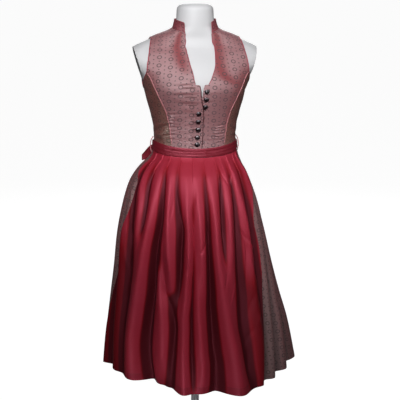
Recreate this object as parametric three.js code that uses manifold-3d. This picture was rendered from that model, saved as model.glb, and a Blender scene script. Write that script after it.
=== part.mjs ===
// A sleeveless midi dirndl on a limbless dress form.
// Millimetres, +Z up. The front of the dress faces -Y and the wearer's right is at -X.
// The origin is the centre of the underside of the stand's base plate.

import * as THREE from 'three';
import * as BufferGeometryUtils from 'three/addons/utils/BufferGeometryUtils.js';
import Module from 'manifold-3d';

const wasm = await Module();
wasm.setup();

// ---------------------------------------------------------------- driving sizes

const SEAM_GAP = 0.3; // between two pieces that meet
const CLOTH = 1.6; // thickness of bodice, skirt and apron cloth
const BODICE_CLEAR = 2.5; // from the form to the inside of the bodice
const BODICE_OUT = BODICE_CLEAR + CLOTH; // from the form to the outside of the bodice

const WAIST_FRONT = 967; // height of the waist seam at centre front
const WAIST_SIDE_RISE = 14; // the seam is that much higher at the sides
const HEM = 267; // height of the skirt's hem
const APRON_HEM = 263;
const SIDE_SEAM = 97; // turn of the skirt's side seams, in degrees from centre front
const NECK_SEAM = 1337; // height of the collar seam at the sides and back
const COLLAR_TOP = 1365; // its height behind; it drops towards the front
const COLLAR_TOP_DROP = 15;

const FORM_BOTTOM = 800;
const NECK_TOP = 1392;
const CAP_HEIGHT = 20;
const ARM_CUT = { top: 1283, tip: 190, slope: 0.282 }; // plane that cuts each shoulder off

const BAND_HEIGHT = 28;
const BAND_SIDE_EXTRA = 6;
const BAND_CLEAR = 1.4;
const BAND_THICK = 2.2;
const APRON_CLEAR = { band: 2.2, hip: 5.5, hollow: 0.16 }; // how far the apron stands off the skirt

const SHOULDER = { front: 89.88, back: 90.12 }; // turns of the two edges of the shoulder seam
const SEAM_TURN = 0.09; // half a seam gap of an upright seam, in degrees

const PIPING_RADIUS = 1.1;
const PIPING_LIFT = 0.75;
const BUTTON_RADIUS = 7.6;
const BUTTON_HEIGHT = 4.6;
const LAP = { start: -10, full: -4, rise: 2.4 }; // where the buttoned front rises over the other

const POLE_RADIUS = 13;
const BASE_RADIUS = 180;
const BASE_HEIGHT = 18;
const SOCKET_HEIGHT = 24;

// ---------------------------------------------------------------- tables

// Horizontal sections of the form: half width, depth in front of and behind the
// middle, how far the middle is moved back, and the power of the superellipse.
const torsoSections = [
  { z: 800, width: 148, front: 104, back: 112, shift: 0, power: 2.2 },
  { z: 860, width: 144, front: 100, back: 108, shift: 0, power: 2.2 },
  { z: 910, width: 135, front: 95, back: 99, shift: 0, power: 2.2 },
  { z: 960, width: 127, front: 95, back: 93, shift: 0, power: 2.2 },
  { z: 1000, width: 124, front: 93, back: 90, shift: 0, power: 2.2 },
  { z: 1040, width: 126, front: 96, back: 92, shift: 0, power: 2.2 },
  { z: 1080, width: 134, front: 104, back: 96, shift: 0, power: 2.25 },
  { z: 1120, width: 145, front: 113, back: 101, shift: 0, power: 2.3 },
  { z: 1160, width: 155, front: 119, back: 105, shift: 0, power: 2.35 },
  { z: 1200, width: 174, front: 115, back: 108, shift: 0, power: 2.4 },
  { z: 1235, width: 208, front: 100, back: 107, shift: 0, power: 2.4 },
  { z: 1262, width: 214, front: 82, back: 100, shift: 0, power: 2.4 },
  { z: 1282, width: 190, front: 66, back: 91, shift: 0, power: 2.4 },
  { z: 1300, width: 152, front: 58, back: 78, shift: -2, power: 2.2 },
  { z: 1315, width: 119, front: 54, back: 68, shift: -4, power: 2.1 },
  { z: 1332, width: 76, front: 52, back: 59, shift: -8, power: 2 },
  { z: 1347, width: 58, front: 50, back: 54, shift: -10, power: 2 },
  { z: 1392, width: 56, front: 50, back: 54, shift: -12, power: 2 },
];

// The bust darts and seams give the fronts their fullness: its middle and reach.
const bust = { turn: 34, z: 1168, rise: 9, turnReach: 24, zReach: 46 };

// Seams and edges of the bodice: turn round the body from centre front, in
// degrees, and height. Each runs from the waist up; v is the fraction of the way.
const frontPrincess = [
  { v: 0, turn: 37, z: 972.1 },
  { v: 0.15, turn: 39.5, z: 1030 },
  { v: 0.3, turn: 41.5, z: 1090 },
  { v: 0.45, turn: 46, z: 1137 },
  { v: 0.56, turn: 50, z: 1180 },
  { v: 0.65, turn: 51, z: 1213 },
];
const armholeJoin = 0.65; // v at which the princess seams reach the armholes
// The armhole's edge above them, front and back: half the width between the armholes.
const armhole = [
  { v: 0.65, half: 149.5, z: 1213 },
  { v: 0.72, half: 150, z: 1231 },
  { v: 0.78, half: 147.5, z: 1250 },
  { v: 0.85, half: 144, z: 1268 },
  { v: 0.91, half: 140.5, z: 1285 },
  { v: 0.96, half: 137, z: 1298 },
  { v: 1, half: 131.5, z: 1309 },
];
const overEdge = [
  { v: 0, turn: 2.6, z: 967 },
  { v: 0.15, turn: 4.3, z: 1028 },
  { v: 0.32, turn: 4, z: 1084 },
  { v: 0.48, turn: 1.2, z: 1136 },
  { v: 0.6, turn: -0.3, z: 1175 },
  { v: 0.62, turn: -3, z: 1177 },
  { v: 0.74, turn: -4.8, z: 1222 },
  { v: 0.84, turn: -6.5, z: 1268 },
  { v: 0.88, turn: -11.2, z: 1299 },
  { v: 0.905, turn: -16, z: 1313 },
  { v: 0.92, turn: -22, z: 1324 },
  { v: 1, turn: -SHOULDER.front, z: 1337 },
];
const underEdge = [
  { v: 0, turn: -3.6, z: 967 },
  { v: 0.32, turn: -2.6, z: 1084 },
  { v: 0.41, turn: -1, z: 1112 },
  { v: 0.48, turn: 1.4, z: 1136 },
  { v: 0.6, turn: 3.2, z: 1175 },
  { v: 0.62, turn: 6.2, z: 1177 },
  { v: 0.75, turn: 10.2, z: 1224 },
  { v: 0.84, turn: 10.4, z: 1262 },
  { v: 0.88, turn: 13.2, z: 1290 },
  { v: 0.905, turn: 19, z: 1310 },
  { v: 0.92, turn: 27, z: 1323 },
  { v: 1, turn: SHOULDER.front, z: 1337 },
];
const sideSeam = [
  { v: 0, turn: 94, z: 980.9 },
  { v: 0.5, turn: 93, z: 1070 },
  { v: 1, turn: 92, z: 1158 },
];
const backPrincess = [
  { v: 0, turn: 149, z: 970.7 },
  { v: 0.3, turn: 146, z: 1080 },
  { v: 0.5, turn: 139, z: 1160 },
  { v: 0.65, turn: 130, z: 1212 },
];
const centreBack = [
  { v: 0, turn: 180, z: 967 },
  { v: 0.7, turn: 180, z: 1270 },
  { v: 0.84, turn: 180, z: 1337 },
  { v: 1, turn: SHOULDER.back, z: 1337 },
];

// The hem hangs unevenly: how much higher than the cut it is at each turn.
const hemLift = [
  { turn: -100, rise: 8 },
  { turn: -84, rise: 10 },
  { turn: -72, rise: 24 },
  { turn: -60, rise: 26 },
  { turn: -48, rise: 19 },
  { turn: -38, rise: 15 },
  { turn: -27, rise: 3 },
  { turn: 10, rise: 0 },
  { turn: 40, rise: 3 },
  { turn: 50, rise: 9 },
  { turn: 62, rise: 11 },
  { turn: 80, rise: 6 },
  { turn: 110, rise: 3 },
  { turn: 150, rise: 6 },
  { turn: 200, rise: 2 },
  { turn: 230, rise: 7 },
  { turn: 263, rise: 8 },
];

// Sections of the skirt without its folds: half widths at the wearer's right and
// left, and depth in front and behind.
const skirtSections = [
  { z: 267, right: 290, left: 318, front: 278, back: 284, power: 2 },
  { z: 400, right: 280, left: 292, front: 256, back: 266, power: 2 },
  { z: 500, right: 267, left: 264, front: 240, back: 250, power: 2 },
  { z: 600, right: 253, left: 240, front: 224, back: 234, power: 2 },
  { z: 700, right: 241, left: 219, front: 206, back: 215, power: 2 },
  { z: 800, right: 220, left: 194, front: 182, back: 190, power: 2.05 },
  { z: 863, right: 200, left: 172, front: 160, back: 167, power: 2.1 },
  { z: 900, right: 178, left: 157, front: 142, back: 148, power: 2.15 },
  { z: 925, right: 158, left: 144, front: 123, back: 126, power: 2.2 },
  { z: 945, right: 138, left: 135, front: 106, back: 106, power: 2.2 },
  { z: 957, right: 132, left: 132, front: 100, back: 98.5, power: 2.2 },
  { z: 985, right: 130, left: 130, front: 98.6, back: 96.4, power: 2.2 },
];

// Folds of the skirt and apron: turn at the hips, knees and hem, how far each
// stands out (or goes in, if negative) there, and its spread in degrees.
const FOLD_HEIGHTS = { hip: 900, knee: 600, hem: 267 };
const folds = [
  { hip: -95, knee: -86, hem: -84, hipRise: 8, kneeRise: 10, hemRise: 10, spread: 6 },
  { hip: -86, knee: -77, hem: -75, hipRise: -6, kneeRise: -12, hemRise: -16, spread: 5 },
  { hip: -77, knee: -67, hem: -65, hipRise: 8, kneeRise: 12, hemRise: 2, spread: 5.5 },
  { hip: -66, knee: -58, hem: -58, hipRise: -7, kneeRise: -9, hemRise: -10, spread: 4.8 },
  { hip: -47, knee: -47, hem: -50.5, hipRise: 8, kneeRise: 20, hemRise: 4, spread: 7.5 },
  { hip: -34, knee: -36.5, hem: -39, hipRise: -8, kneeRise: -28, hemRise: -60, spread: 6 },
  { hip: -27, knee: -28.5, hem: -29, hipRise: 9, kneeRise: 10, hemRise: -36, spread: 5.4 },
  { hip: -19, knee: -20.5, hem: -21.5, hipRise: -8, kneeRise: -20, hemRise: -30, spread: 5 },
  { hip: -9, knee: -9, hem: -10, hipRise: 8, kneeRise: 16, hemRise: 20, spread: 6.5 },
  { hip: 2.5, knee: 3.5, hem: 4, hipRise: -6, kneeRise: -18, hemRise: -26, spread: 5 },
  { hip: 9, knee: 12, hem: 16, hipRise: 9, kneeRise: 22, hemRise: 46, spread: 7 },
  { hip: 28, knee: 27, hem: 26, hipRise: -7, kneeRise: -18, hemRise: -4, spread: 5 },
  { hip: 38, knee: 37, hem: 32, hipRise: 8, kneeRise: 14, hemRise: 14, spread: 6 },
  { hip: 49, knee: 46.5, hem: 42, hipRise: -7, kneeRise: -16, hemRise: -22, spread: 5 },
  { hip: 61, knee: 56, hem: 53, hipRise: 8, kneeRise: 14, hemRise: 14, spread: 6 },
  { hip: 73, knee: 67, hem: 64, hipRise: -8, kneeRise: -14, hemRise: -18, spread: 4.8 },
  { hip: 84, knee: 80, hem: 80, hipRise: 7, kneeRise: 12, hemRise: 14, spread: 6.5 },
  { hip: 96, knee: 93, hem: 94, hipRise: -8, kneeRise: -14, hemRise: -20, spread: 5 },
  { hip: 106, knee: 107, hem: 109, hipRise: 8, kneeRise: 16, hemRise: 20, spread: 6 },
  { hip: 117, knee: 118, hem: 121, hipRise: -8, kneeRise: -18, hemRise: -30, spread: 4.6 },
  { hip: 127, knee: 130, hem: 133, hipRise: 9, kneeRise: 18, hemRise: 22, spread: 5.5 },
  { hip: 138, knee: 140, hem: 144, hipRise: -8, kneeRise: -15, hemRise: -24, spread: 4.4 },
  { hip: 148, knee: 151, hem: 155, hipRise: 9, kneeRise: 19, hemRise: 26, spread: 5.8 },
  { hip: 159, knee: 163, hem: 167, hipRise: -9, kneeRise: -22, hemRise: -36, spread: 4.6 },
  { hip: 170, knee: 173, hem: 177, hipRise: 9, kneeRise: 15, hemRise: 20, spread: 5 },
  { hip: 181, knee: 183, hem: 187, hipRise: -8, kneeRise: -17, hemRise: -26, spread: 4.4 },
  { hip: 192, knee: 195, hem: 198, hipRise: 9, kneeRise: 20, hemRise: 28, spread: 6 },
  { hip: 203, knee: 206, hem: 210, hipRise: -8, kneeRise: -20, hemRise: -34, spread: 4.6 },
  { hip: 214, knee: 217, hem: 221, hipRise: 9, kneeRise: 16, hemRise: 20, spread: 5.2 },
  { hip: 226, knee: 229, hem: 231, hipRise: -8, kneeRise: -16, hemRise: -26, spread: 4.4 },
  { hip: 238, knee: 241, hem: 244, hipRise: 9, kneeRise: 18, hemRise: 24, spread: 6 },
  { hip: 252, knee: 257, hem: 260, hipRise: -8, kneeRise: -16, hemRise: -22, spread: 5 },
];

// The apron's two edges: turn at each height.
const apronEdges = [
  { z: 263, right: -84, left: 32 },
  { z: 365, right: -83, left: 36.5 },
  { z: 436, right: -82, left: 42 },
  { z: 522, right: -80, left: 47 },
  { z: 611, right: -76, left: 51 },
  { z: 677, right: -72, left: 52 },
  { z: 740, right: -69, left: 51.5 },
  { z: 800, right: -67, left: 55 },
  { z: 855, right: -68, left: 61 },
  { z: 905, right: -76, left: 63 },
  { z: 955, right: -80, left: 68 },
];

// The buttons: three open ones on the wearer's left edge, five done up. The seat
// is from the panel's curved surface to the flat underside.
const buttons = [
  { z: 1156, turn: 5.4, over: false, seat: -0.4 },
  { z: 1133, turn: 5.2, over: false, seat: -0.1 },
  { z: 1111, turn: 4.8, over: true, seat: 0.1 },
  { z: 1090, turn: -0.7, over: true, seat: 0.4 },
  { z: 1065, turn: -1, over: true, seat: 0.5 },
  { z: 1040, turn: -0.9, over: true, seat: 0.5 },
  { z: 1016, turn: -1.7, over: true, seat: 0.5 },
  { z: 993, turn: -1.8, over: true, seat: 0.5 },
];

// ---------------------------------------------------------------- colours

const looks = {
  form: { color: 0xe6e4e2, roughness: 0.6, metalness: 0 },
  steel: { color: 0xd8d8da, roughness: 0.42, metalness: 0 },
  jacquard: { color: 0xa0747a, roughness: 0.5, metalness: 0 },
  jacquardDark: { color: 0x6b4a44, roughness: 0.55, metalness: 0 },
  collar: { color: 0x7a4448, roughness: 0.5, metalness: 0 },
  piping: { color: 0xc08888, roughness: 0.5, metalness: 0 },
  apron: { color: 0x7e1a24, roughness: 0.35, metalness: 0 },
  band: { color: 0x82243a, roughness: 0.4, metalness: 0 },
  pewter: { color: 0x2a292b, roughness: 0.3, metalness: 1 },
};

// ---------------------------------------------------------------- curves and surfaces

const radians = THREE.MathUtils.degToRad;

// Reads one column of a table at a height (or fraction), through a smooth curve.
function read(table, key, at, column) {
  const last = table.length - 1;
  if (at <= table[0][key]) return table[0][column];
  if (at >= table[last][key]) return table[last][column];
  let i = 0;
  while (table[i + 1][key] < at) i += 1;
  const slope = (a, b) => (table[b][column] - table[a][column]) / (table[b][key] - table[a][key]);
  const step = table[i + 1][key] - table[i][key];
  const across = slope(i, i + 1);
  const before = i > 0 ? slope(i - 1, i) : across;
  const after = i + 2 <= last ? slope(i + 1, i + 2) : across;
  const startSlope = before * across > 0 ? (2 * before * across) / (before + across) : 0;
  const endSlope = across * after > 0 ? (2 * across * after) / (across + after) : 0;
  const t = (at - table[i][key]) / step;
  const rise = t * t * (3 - 2 * t);
  const value = table[i][column] + (table[i + 1][column] - table[i][column]) * rise;
  const bend = step * (startSlope * t * (1 - t) * (1 - t) - endSlope * t * t * (1 - t));
  return value + bend;
}

function mix(a, b, t) {
  return a + (b - a) * t;
}

function smooth(start, end, x) {
  const t = Math.min(Math.max((x - start) / (end - start), 0), 1);
  return t * t * (3 - 2 * t);
}

function bell(x, reach) {
  return Math.exp(-((x / reach) ** 2));
}

// A point of a superellipse section, by its turn from centre front.
function sectionPoint(turn, z, width, front, back, shift, power) {
  const s = Math.sin(radians(turn));
  const c = Math.cos(radians(turn));
  const x = width * Math.sign(s) * Math.abs(s) ** (2 / power);
  const depth = c > 0 ? front : back;
  const y = -depth * Math.sign(c) * Math.abs(c) ** (2 / power);
  return new THREE.Vector3(x, y + shift, z);
}

function torsoBase(turn, z) {
  const at = (column) => read(torsoSections, 'z', z, column);
  const signed = ((turn + 540) % 360) - 180;
  const fullness = bell(Math.abs(signed) - bust.turn, bust.turnReach) * bell(z - bust.z, bust.zReach);
  const grow = bust.rise * fullness;
  return sectionPoint(turn, z, at('width') + grow, at('front') + grow, at('back'), at('shift'), at('power'));
}

// The outward direction of a surface given as point(turn, z).
function outward(point, turn, z) {
  const turnStep = 0.6;
  const zStep = 1.5;
  const along = point(turn + turnStep, z).sub(point(turn - turnStep, z));
  const up = point(turn, z + zStep).sub(point(turn, z - zStep));
  return along.cross(up).normalize();
}

// A point of the body moved outward by a distance: the bodice's own surface.
function bodyPoint(turn, z, out) {
  return torsoBase(turn, z).addScaledVector(outward(torsoBase, turn, z), out);
}

function waistHeight(turn) {
  return WAIST_FRONT + WAIST_SIDE_RISE * Math.sin(radians(turn)) ** 2;
}

function hemHeight(turn) {
  return HEM + read(hemLift, 'turn', turn, 'rise');
}

// How far the folds move the skirt's surface outward.
function foldRise(turn, z) {
  const { hip, knee, hem } = FOLD_HEIGHTS;
  const upper = Math.min(Math.max((z - knee) / (hip - knee), 0), 1);
  const lower = Math.min(Math.max((knee - z) / (knee - hem), 0), 1);
  const start = smooth(waistHeight(turn) - 14, hip - 10, z);
  let total = 0;
  for (const fold of folds) {
    const middle = fold.knee + (fold.hip - fold.knee) * upper + (fold.hem - fold.knee) * lower;
    const above = (fold.hipRise - fold.kneeRise) * upper;
    const below = (fold.hemRise - fold.kneeRise) * lower;
    const away = ((turn - middle + 540) % 360) - 180;
    total += (fold.kneeRise + above + below) * bell(away, fold.spread);
  }
  return total * start;
}

function skirtBase(turn, z, standOff = 0) {
  const at = (column) => read(skirtSections, 'z', z, column);
  const rise = foldRise(turn, z) + standOff;
  const signed = ((turn + 540) % 360) - 180;
  const width = signed < 0 ? at('right') : at('left');
  return sectionPoint(turn, z, width + rise, at('front') + rise, at('back') + rise, 0, at('power'));
}

function skirtPoint(turn, z, out) {
  return skirtBase(turn, z).addScaledVector(outward(skirtBase, turn, z), out);
}

// The apron lies on the skirt's folds and bridges their hollows a little.
function apronBase(turn, z) {
  const hollow = Math.max(0, -foldRise(turn, z)) * APRON_CLEAR.hollow;
  const loose = mix(APRON_CLEAR.band, APRON_CLEAR.hip, smooth(WAIST_FRONT - 20, FOLD_HEIGHTS.hip, z));
  return skirtBase(turn, z, loose + hollow);
}

function apronPoint(turn, z, out) {
  return apronBase(turn, z).addScaledVector(outward(apronBase, turn, z), out);
}

// The dress at the waist, where the band and the ties lie on bodice and skirt.
function waistPoint(turn, z, out) {
  const base = (a, b) => sectionPoint(
    a, b, read(skirtSections, 'z', b, 'left'), read(skirtSections, 'z', b, 'front'),
    read(skirtSections, 'z', b, 'back'), 0, 2.2,
  );
  return base(turn, z).addScaledVector(outward(base, turn, z), out);
}

// ---------------------------------------------------------------- solids

const group = new THREE.Group();

function add(name, geometry, look) {
  const mesh = new THREE.Mesh(geometry, new THREE.MeshStandardMaterial(look));
  mesh.name = name;
  group.add(mesh);
  return mesh;
}

function triangleGeometry(points, triangles) {
  const geometry = new THREE.BufferGeometry();
  const positions = points.flatMap((p) => [p.x, p.y, p.z]);
  geometry.setAttribute('position', new THREE.Float32BufferAttribute(positions, 3));
  geometry.setIndex(triangles);
  return geometry;
}

// A closed wall of cloth. surface(u, v, out) gives a point of the piece for u and
// v from 0 to 1, moved outward; the wall fills the space from inner to outer.
function wall(surface, columns, rows, inner, outer) {
  const points = [];
  for (const out of [outer, inner]) {
    for (const v of rows) {
      for (const u of columns) points.push(surface(u, v, out));
    }
  }
  const across = columns.length;
  const sheet = across * rows.length;
  const triangles = [];
  const quad = (a, b, c, d) => triangles.push(a, b, c, a, c, d);
  for (let j = 0; j + 1 < rows.length; j += 1) {
    for (let i = 0; i + 1 < across; i += 1) {
      const a = j * across + i;
      quad(a, a + 1, a + across + 1, a + across);
      quad(sheet + a, sheet + a + across, sheet + a + across + 1, sheet + a + 1);
    }
  }
  const top = (rows.length - 1) * across;
  for (let i = 0; i + 1 < across; i += 1) {
    quad(i, sheet + i, sheet + i + 1, i + 1);
    quad(top + i, top + i + 1, sheet + top + i + 1, sheet + top + i);
  }
  for (let j = 0; j + 1 < rows.length; j += 1) {
    const a = j * across;
    const b = a + across - 1;
    quad(a, a + across, sheet + a + across, sheet + a);
    quad(b, sheet + b, sheet + b + across, b + across);
  }
  if (volume(points, triangles) < 0) triangles.reverse();
  return triangleGeometry(points, triangles);
}

// Volume inside a closed mesh, negative when its faces point inwards.
function volume(points, triangles) {
  let total = 0;
  for (let i = 0; i < triangles.length; i += 3) {
    const [a, b, c] = [points[triangles[i]], points[triangles[i + 1]], points[triangles[i + 2]]];
    total += a.dot(b.clone().cross(c)) / 6;
  }
  return total;
}

function steps(count) {
  return Array.from({ length: count + 1 }, (_, i) => i / count);
}

// A round cord through points, with closed ends.
function cord(points, radius, sides, stepCount) {
  const section = new THREE.Shape();
  section.absarc(0, 0, radius, 0, 2 * Math.PI);
  const path = new THREE.CatmullRomCurve3(points);
  const options = { steps: stepCount, curveSegments: sides, bevelEnabled: false, extrudePath: path };
  return new THREE.ExtrudeGeometry(section, options);
}

function toManifold(geometry) {
  const bare = geometry.clone();
  bare.deleteAttribute('normal');
  bare.deleteAttribute('uv');
  const merged = BufferGeometryUtils.mergeVertices(bare, 1e-4);
  const mesh = new wasm.Mesh({
    numProp: 3,
    vertProperties: new Float32Array(merged.attributes.position.array),
    triVerts: new Uint32Array(merged.index.array),
  });
  return new wasm.Manifold(mesh);
}

function fromManifold(solid) {
  const mesh = solid.getMesh();
  const geometry = new THREE.BufferGeometry();
  geometry.setAttribute('position', new THREE.BufferAttribute(new Float32Array(mesh.vertProperties), 3));
  geometry.setIndex(new THREE.BufferAttribute(new Uint32Array(mesh.triVerts), 1));
  return geometry;
}

// ---------------------------------------------------------------- dress form and stand

// A closed loft of rings, with a flat bottom and a flattened dome on the neck.
function torsoLoft() {
  const sides = 40;
  const heights = [];
  for (let z = FORM_BOTTOM; z < 1150; z += 25) heights.push(z);
  for (let z = 1150; z < 1282; z += 16) heights.push(z);
  for (let z = 1282; z < 1347; z += 6.5) heights.push(z);
  heights.push(1347, NECK_TOP);
  const points = [];
  const ring = (z, shrink, lift) => {
    for (let i = 0; i < sides; i += 1) {
      const p = torsoBase((360 * i) / sides, z);
      const shift = read(torsoSections, 'z', z, 'shift');
      points.push(new THREE.Vector3(p.x * shrink, (p.y - shift) * shrink + shift, z + lift));
    }
  };
  heights.forEach((z) => ring(z, 1, 0));
  const domeRings = 4;
  for (let i = 1; i < domeRings; i += 1) {
    const angle = (i / domeRings) * (Math.PI / 2);
    ring(NECK_TOP, Math.cos(angle) ** 0.45, CAP_HEIGHT * Math.sin(angle));
  }
  const neckShift = read(torsoSections, 'z', NECK_TOP, 'shift');
  const rings = points.length / sides;
  const top = points.push(new THREE.Vector3(0, neckShift, NECK_TOP + CAP_HEIGHT)) - 1;
  const bottom = points.push(new THREE.Vector3(0, 0, FORM_BOTTOM)) - 1;
  const triangles = [];
  for (let i = 0; i < sides; i += 1) {
    const next = (i + 1) % sides;
    for (let j = 0; j + 1 < rings; j += 1) {
      const a = j * sides;
      triangles.push(a + i, a + next, a + sides + next, a + i, a + sides + next, a + sides + i);
    }
    const last = (rings - 1) * sides;
    triangles.push(last + i, last + next, top, next, i, bottom);
  }
  return triangleGeometry(points, triangles);
}

function buildForm() {
  let torso = toManifold(torsoLoft());
  const blockSize = 400;
  const lean = Math.atan(ARM_CUT.slope);
  for (const side of [-1, 1]) {
    const block = new THREE.BoxGeometry(blockSize, blockSize, blockSize);
    block.translate(side * blockSize / 2, 0, 0);
    block.rotateY(side * lean);
    block.translate(side * ARM_CUT.tip, 0, ARM_CUT.top);
    torso = torso.subtract(toManifold(block));
  }
  add('form_torso', fromManifold(torso), looks.form);
}

// A round plate or rod with small chamfers, from one height to another.
function turned(radius, low, high, chamfer, sides) {
  const profile = [
    new THREE.Vector2(0, low),
    new THREE.Vector2(radius, low),
    new THREE.Vector2(radius, high - chamfer),
    new THREE.Vector2(radius - chamfer, high),
    new THREE.Vector2(0, high),
  ];
  const geometry = new THREE.LatheGeometry(profile, sides);
  geometry.rotateX(Math.PI / 2);
  return geometry;
}

function buildStand() {
  const socketLow = FORM_BOTTOM - SEAM_GAP - SOCKET_HEIGHT;
  add('form_socket', turned(44, socketLow, FORM_BOTTOM - SEAM_GAP, 2, 32), looks.steel);
  add('form_pole', turned(POLE_RADIUS, BASE_HEIGHT + SEAM_GAP, socketLow - SEAM_GAP, 1, 24), looks.steel);
  add('form_base', turned(BASE_RADIUS, 0, BASE_HEIGHT, 5, 48), looks.steel);
}

// ---------------------------------------------------------------- bodice

// A panel between two edges. Its bottom follows the waist seam, and each side
// edge is set in by half a seam gap.
function bodicePanel(firstEdge, firstSide, secondEdge, secondSide, topV, rise) {
  const firstTop = firstEdge === sideSeam ? 1 : topV;
  const secondTop = secondEdge === sideSeam ? 1 : topV;
  return (u, v, out) => {
    const first = v * firstTop;
    const second = v * secondTop;
    const a = firstSide * read(firstEdge, 'v', first, 'turn') + SEAM_TURN;
    const b = secondSide * read(secondEdge, 'v', second, 'turn') - SEAM_TURN;
    const turn = mix(a, b, u);
    const z = mix(read(firstEdge, 'v', first, 'z'), read(secondEdge, 'v', second, 'z'), u);
    const low = mix(firstEdge[0].z, secondEdge[0].z, u);
    const fit = (waistHeight(turn) + SEAM_GAP / 2 - low) * (1 - v) ** 3;
    return bodyPoint(turn, z + fit, out + rise(turn));
  };
}

const flat = () => 0;

function lapRise(turn) {
  return LAP.rise * smooth(LAP.start, LAP.full, turn);
}

// A princess seam carried on round the armhole's edge to the shoulder.
function withArmhole(seam, shoulder, behind) {
  const rows = steps(12).slice(1).map((share) => {
    const v = mix(armholeJoin, 1, share);
    const z = read(armhole, 'v', v, 'z');
    const half = read(armhole, 'v', v, 'half') / read(torsoSections, 'z', z, 'width');
    const power = read(torsoSections, 'z', z, 'power') / 2;
    const lean = Math.asin(Math.min(half, 1) ** power) * (180 / Math.PI);
    const turn = behind ? Math.max(180 - lean, shoulder) : Math.min(lean, shoulder);
    return { v, turn: share === 1 ? shoulder : turn, z };
  });
  return [...seam, ...rows];
}

const frontLine = withArmhole(frontPrincess, SHOULDER.front, false);
const backLine = withArmhole(backPrincess, SHOULDER.back, true);

function frontOverPoint(u, v, out) {
  return bodicePanel(frontLine, -1, overEdge, 1, 1, lapRise)(u, v, out);
}

function frontUnderPoint(u, v, out) {
  return bodicePanel(underEdge, 1, frontLine, 1, 1, flat)(u, v, out);
}

function buildBodice() {
  const sideRows = steps(7);
  const seamRows = sideRows.map((v) => v * armholeJoin);
  const yokeRows = [0.69, 0.74, 0.79, 0.84, 0.88, 0.905, 0.92, 0.95, 0.98, 1];
  const bodyRows = [...seamRows, ...yokeRows];
  const frontRows = [...seamRows.slice(0, -1), 0.6, 0.62, armholeJoin, ...yokeRows];
  const across = steps(5);
  const mirrored = across.slice().reverse(); // left panels mirror the right ones
  const front = (point, columns) => wall(point, columns, frontRows, BODICE_CLEAR, BODICE_OUT);
  add('bodice_front_right', front(frontOverPoint, across), looks.jacquard);
  add('bodice_front_left', front(frontUnderPoint, mirrored), looks.jacquard);
  for (const [name, side] of [['right', -1], ['left', 1]]) {
    const order = (near, far) => (side > 0 ? [near, side, far, side] : [far, side, near, side]);
    const columns = side > 0 ? mirrored : across;
    const piece = (label, near, far, topV, list, look) => {
      const surface = bodicePanel(...order(near, far), topV, flat);
      add(`${label}_${name}`, wall(surface, columns, list, BODICE_CLEAR, BODICE_OUT), look);
    };
    piece('bodice_side_front', frontLine, sideSeam, armholeJoin, sideRows, looks.jacquardDark);
    piece('bodice_side_back', sideSeam, backLine, armholeJoin, sideRows, looks.jacquardDark);
    piece('bodice_back', backLine, centreBack, 1, bodyRows, looks.jacquard);
  }
}

const collarSeamRows = [0.92, 0.95, 0.98, 1];

// Height of the seam between the bodice and the collar.
function collarSeamHeight(turn) {
  const signed = ((turn + 540) % 360) - 180;
  if (Math.abs(signed) >= 90) return NECK_SEAM;
  const edge = signed < 0 ? overEdge : underEdge;
  const rows = collarSeamRows.map((v) => ({
    turn: Math.abs(read(edge, 'v', v, 'turn')),
    z: read(edge, 'v', v, 'z'),
  }));
  return read(rows, 'turn', Math.abs(signed), 'z');
}

// The stand-up collar, open at the front: from its seam on the bodice's outer
// face up and in to an oval round the neck.
function buildCollar() {
  const low = { left: 27.3, right: 337.7 };
  const high = { left: 45, right: 322.5 };
  const surface = (u, v, out) => {
    const seamTurn = mix(low.left, low.right, u);
    const topTurn = mix(high.left, high.right, u);
    const seam = bodyPoint(seamTurn, collarSeamHeight(seamTurn) + 2 * SEAM_GAP, BODICE_OUT - 0.2);
    const topHeight = COLLAR_TOP - COLLAR_TOP_DROP * Math.max(0, Math.cos(radians(topTurn))) ** 2;
    const top = sectionPoint(topTurn, topHeight, 62 + CLOTH, 57 + CLOTH, 62 + CLOTH, -12, 2);
    const level = new THREE.Vector3(seam.x - top.x, seam.y - top.y, 0);
    const slope = level.length();
    const upright = (seam.z - top.z) / Math.hypot(slope, seam.z - top.z);
    const away = new THREE.Vector3(-top.x, -top.y - 12, 0).normalize().negate();
    away.multiplyScalar(-upright);
    away.z = slope / Math.hypot(slope, seam.z - top.z);
    return seam.lerp(top, v).addScaledVector(away, out - CLOTH);
  };
  add('collar', wall(surface, steps(32), [0, 1], 0, CLOTH), looks.collar);
}

// Round piping on a princess seam, from above the apron's band to the armhole.
function buildPiping() {
  const seams = [['front', frontPrincess, 0.06], ['back', backPrincess, 0.06]];
  for (const [name, side] of [['right', -1], ['left', 1]]) {
    for (const [place, seam, low] of seams) {
      const points = steps(12).map((t) => {
        const v = mix(low, armholeJoin - 0.01, t);
        const turn = side * read(seam, 'v', v, 'turn');
        const z = read(seam, 'v', v, 'z');
        return bodyPoint(turn, z, BODICE_OUT + PIPING_LIFT + PIPING_RADIUS);
      });
      add(`piping_${place}_${name}`, cord(points, PIPING_RADIUS, 3, 18), looks.piping);
    }
  }
}

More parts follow.
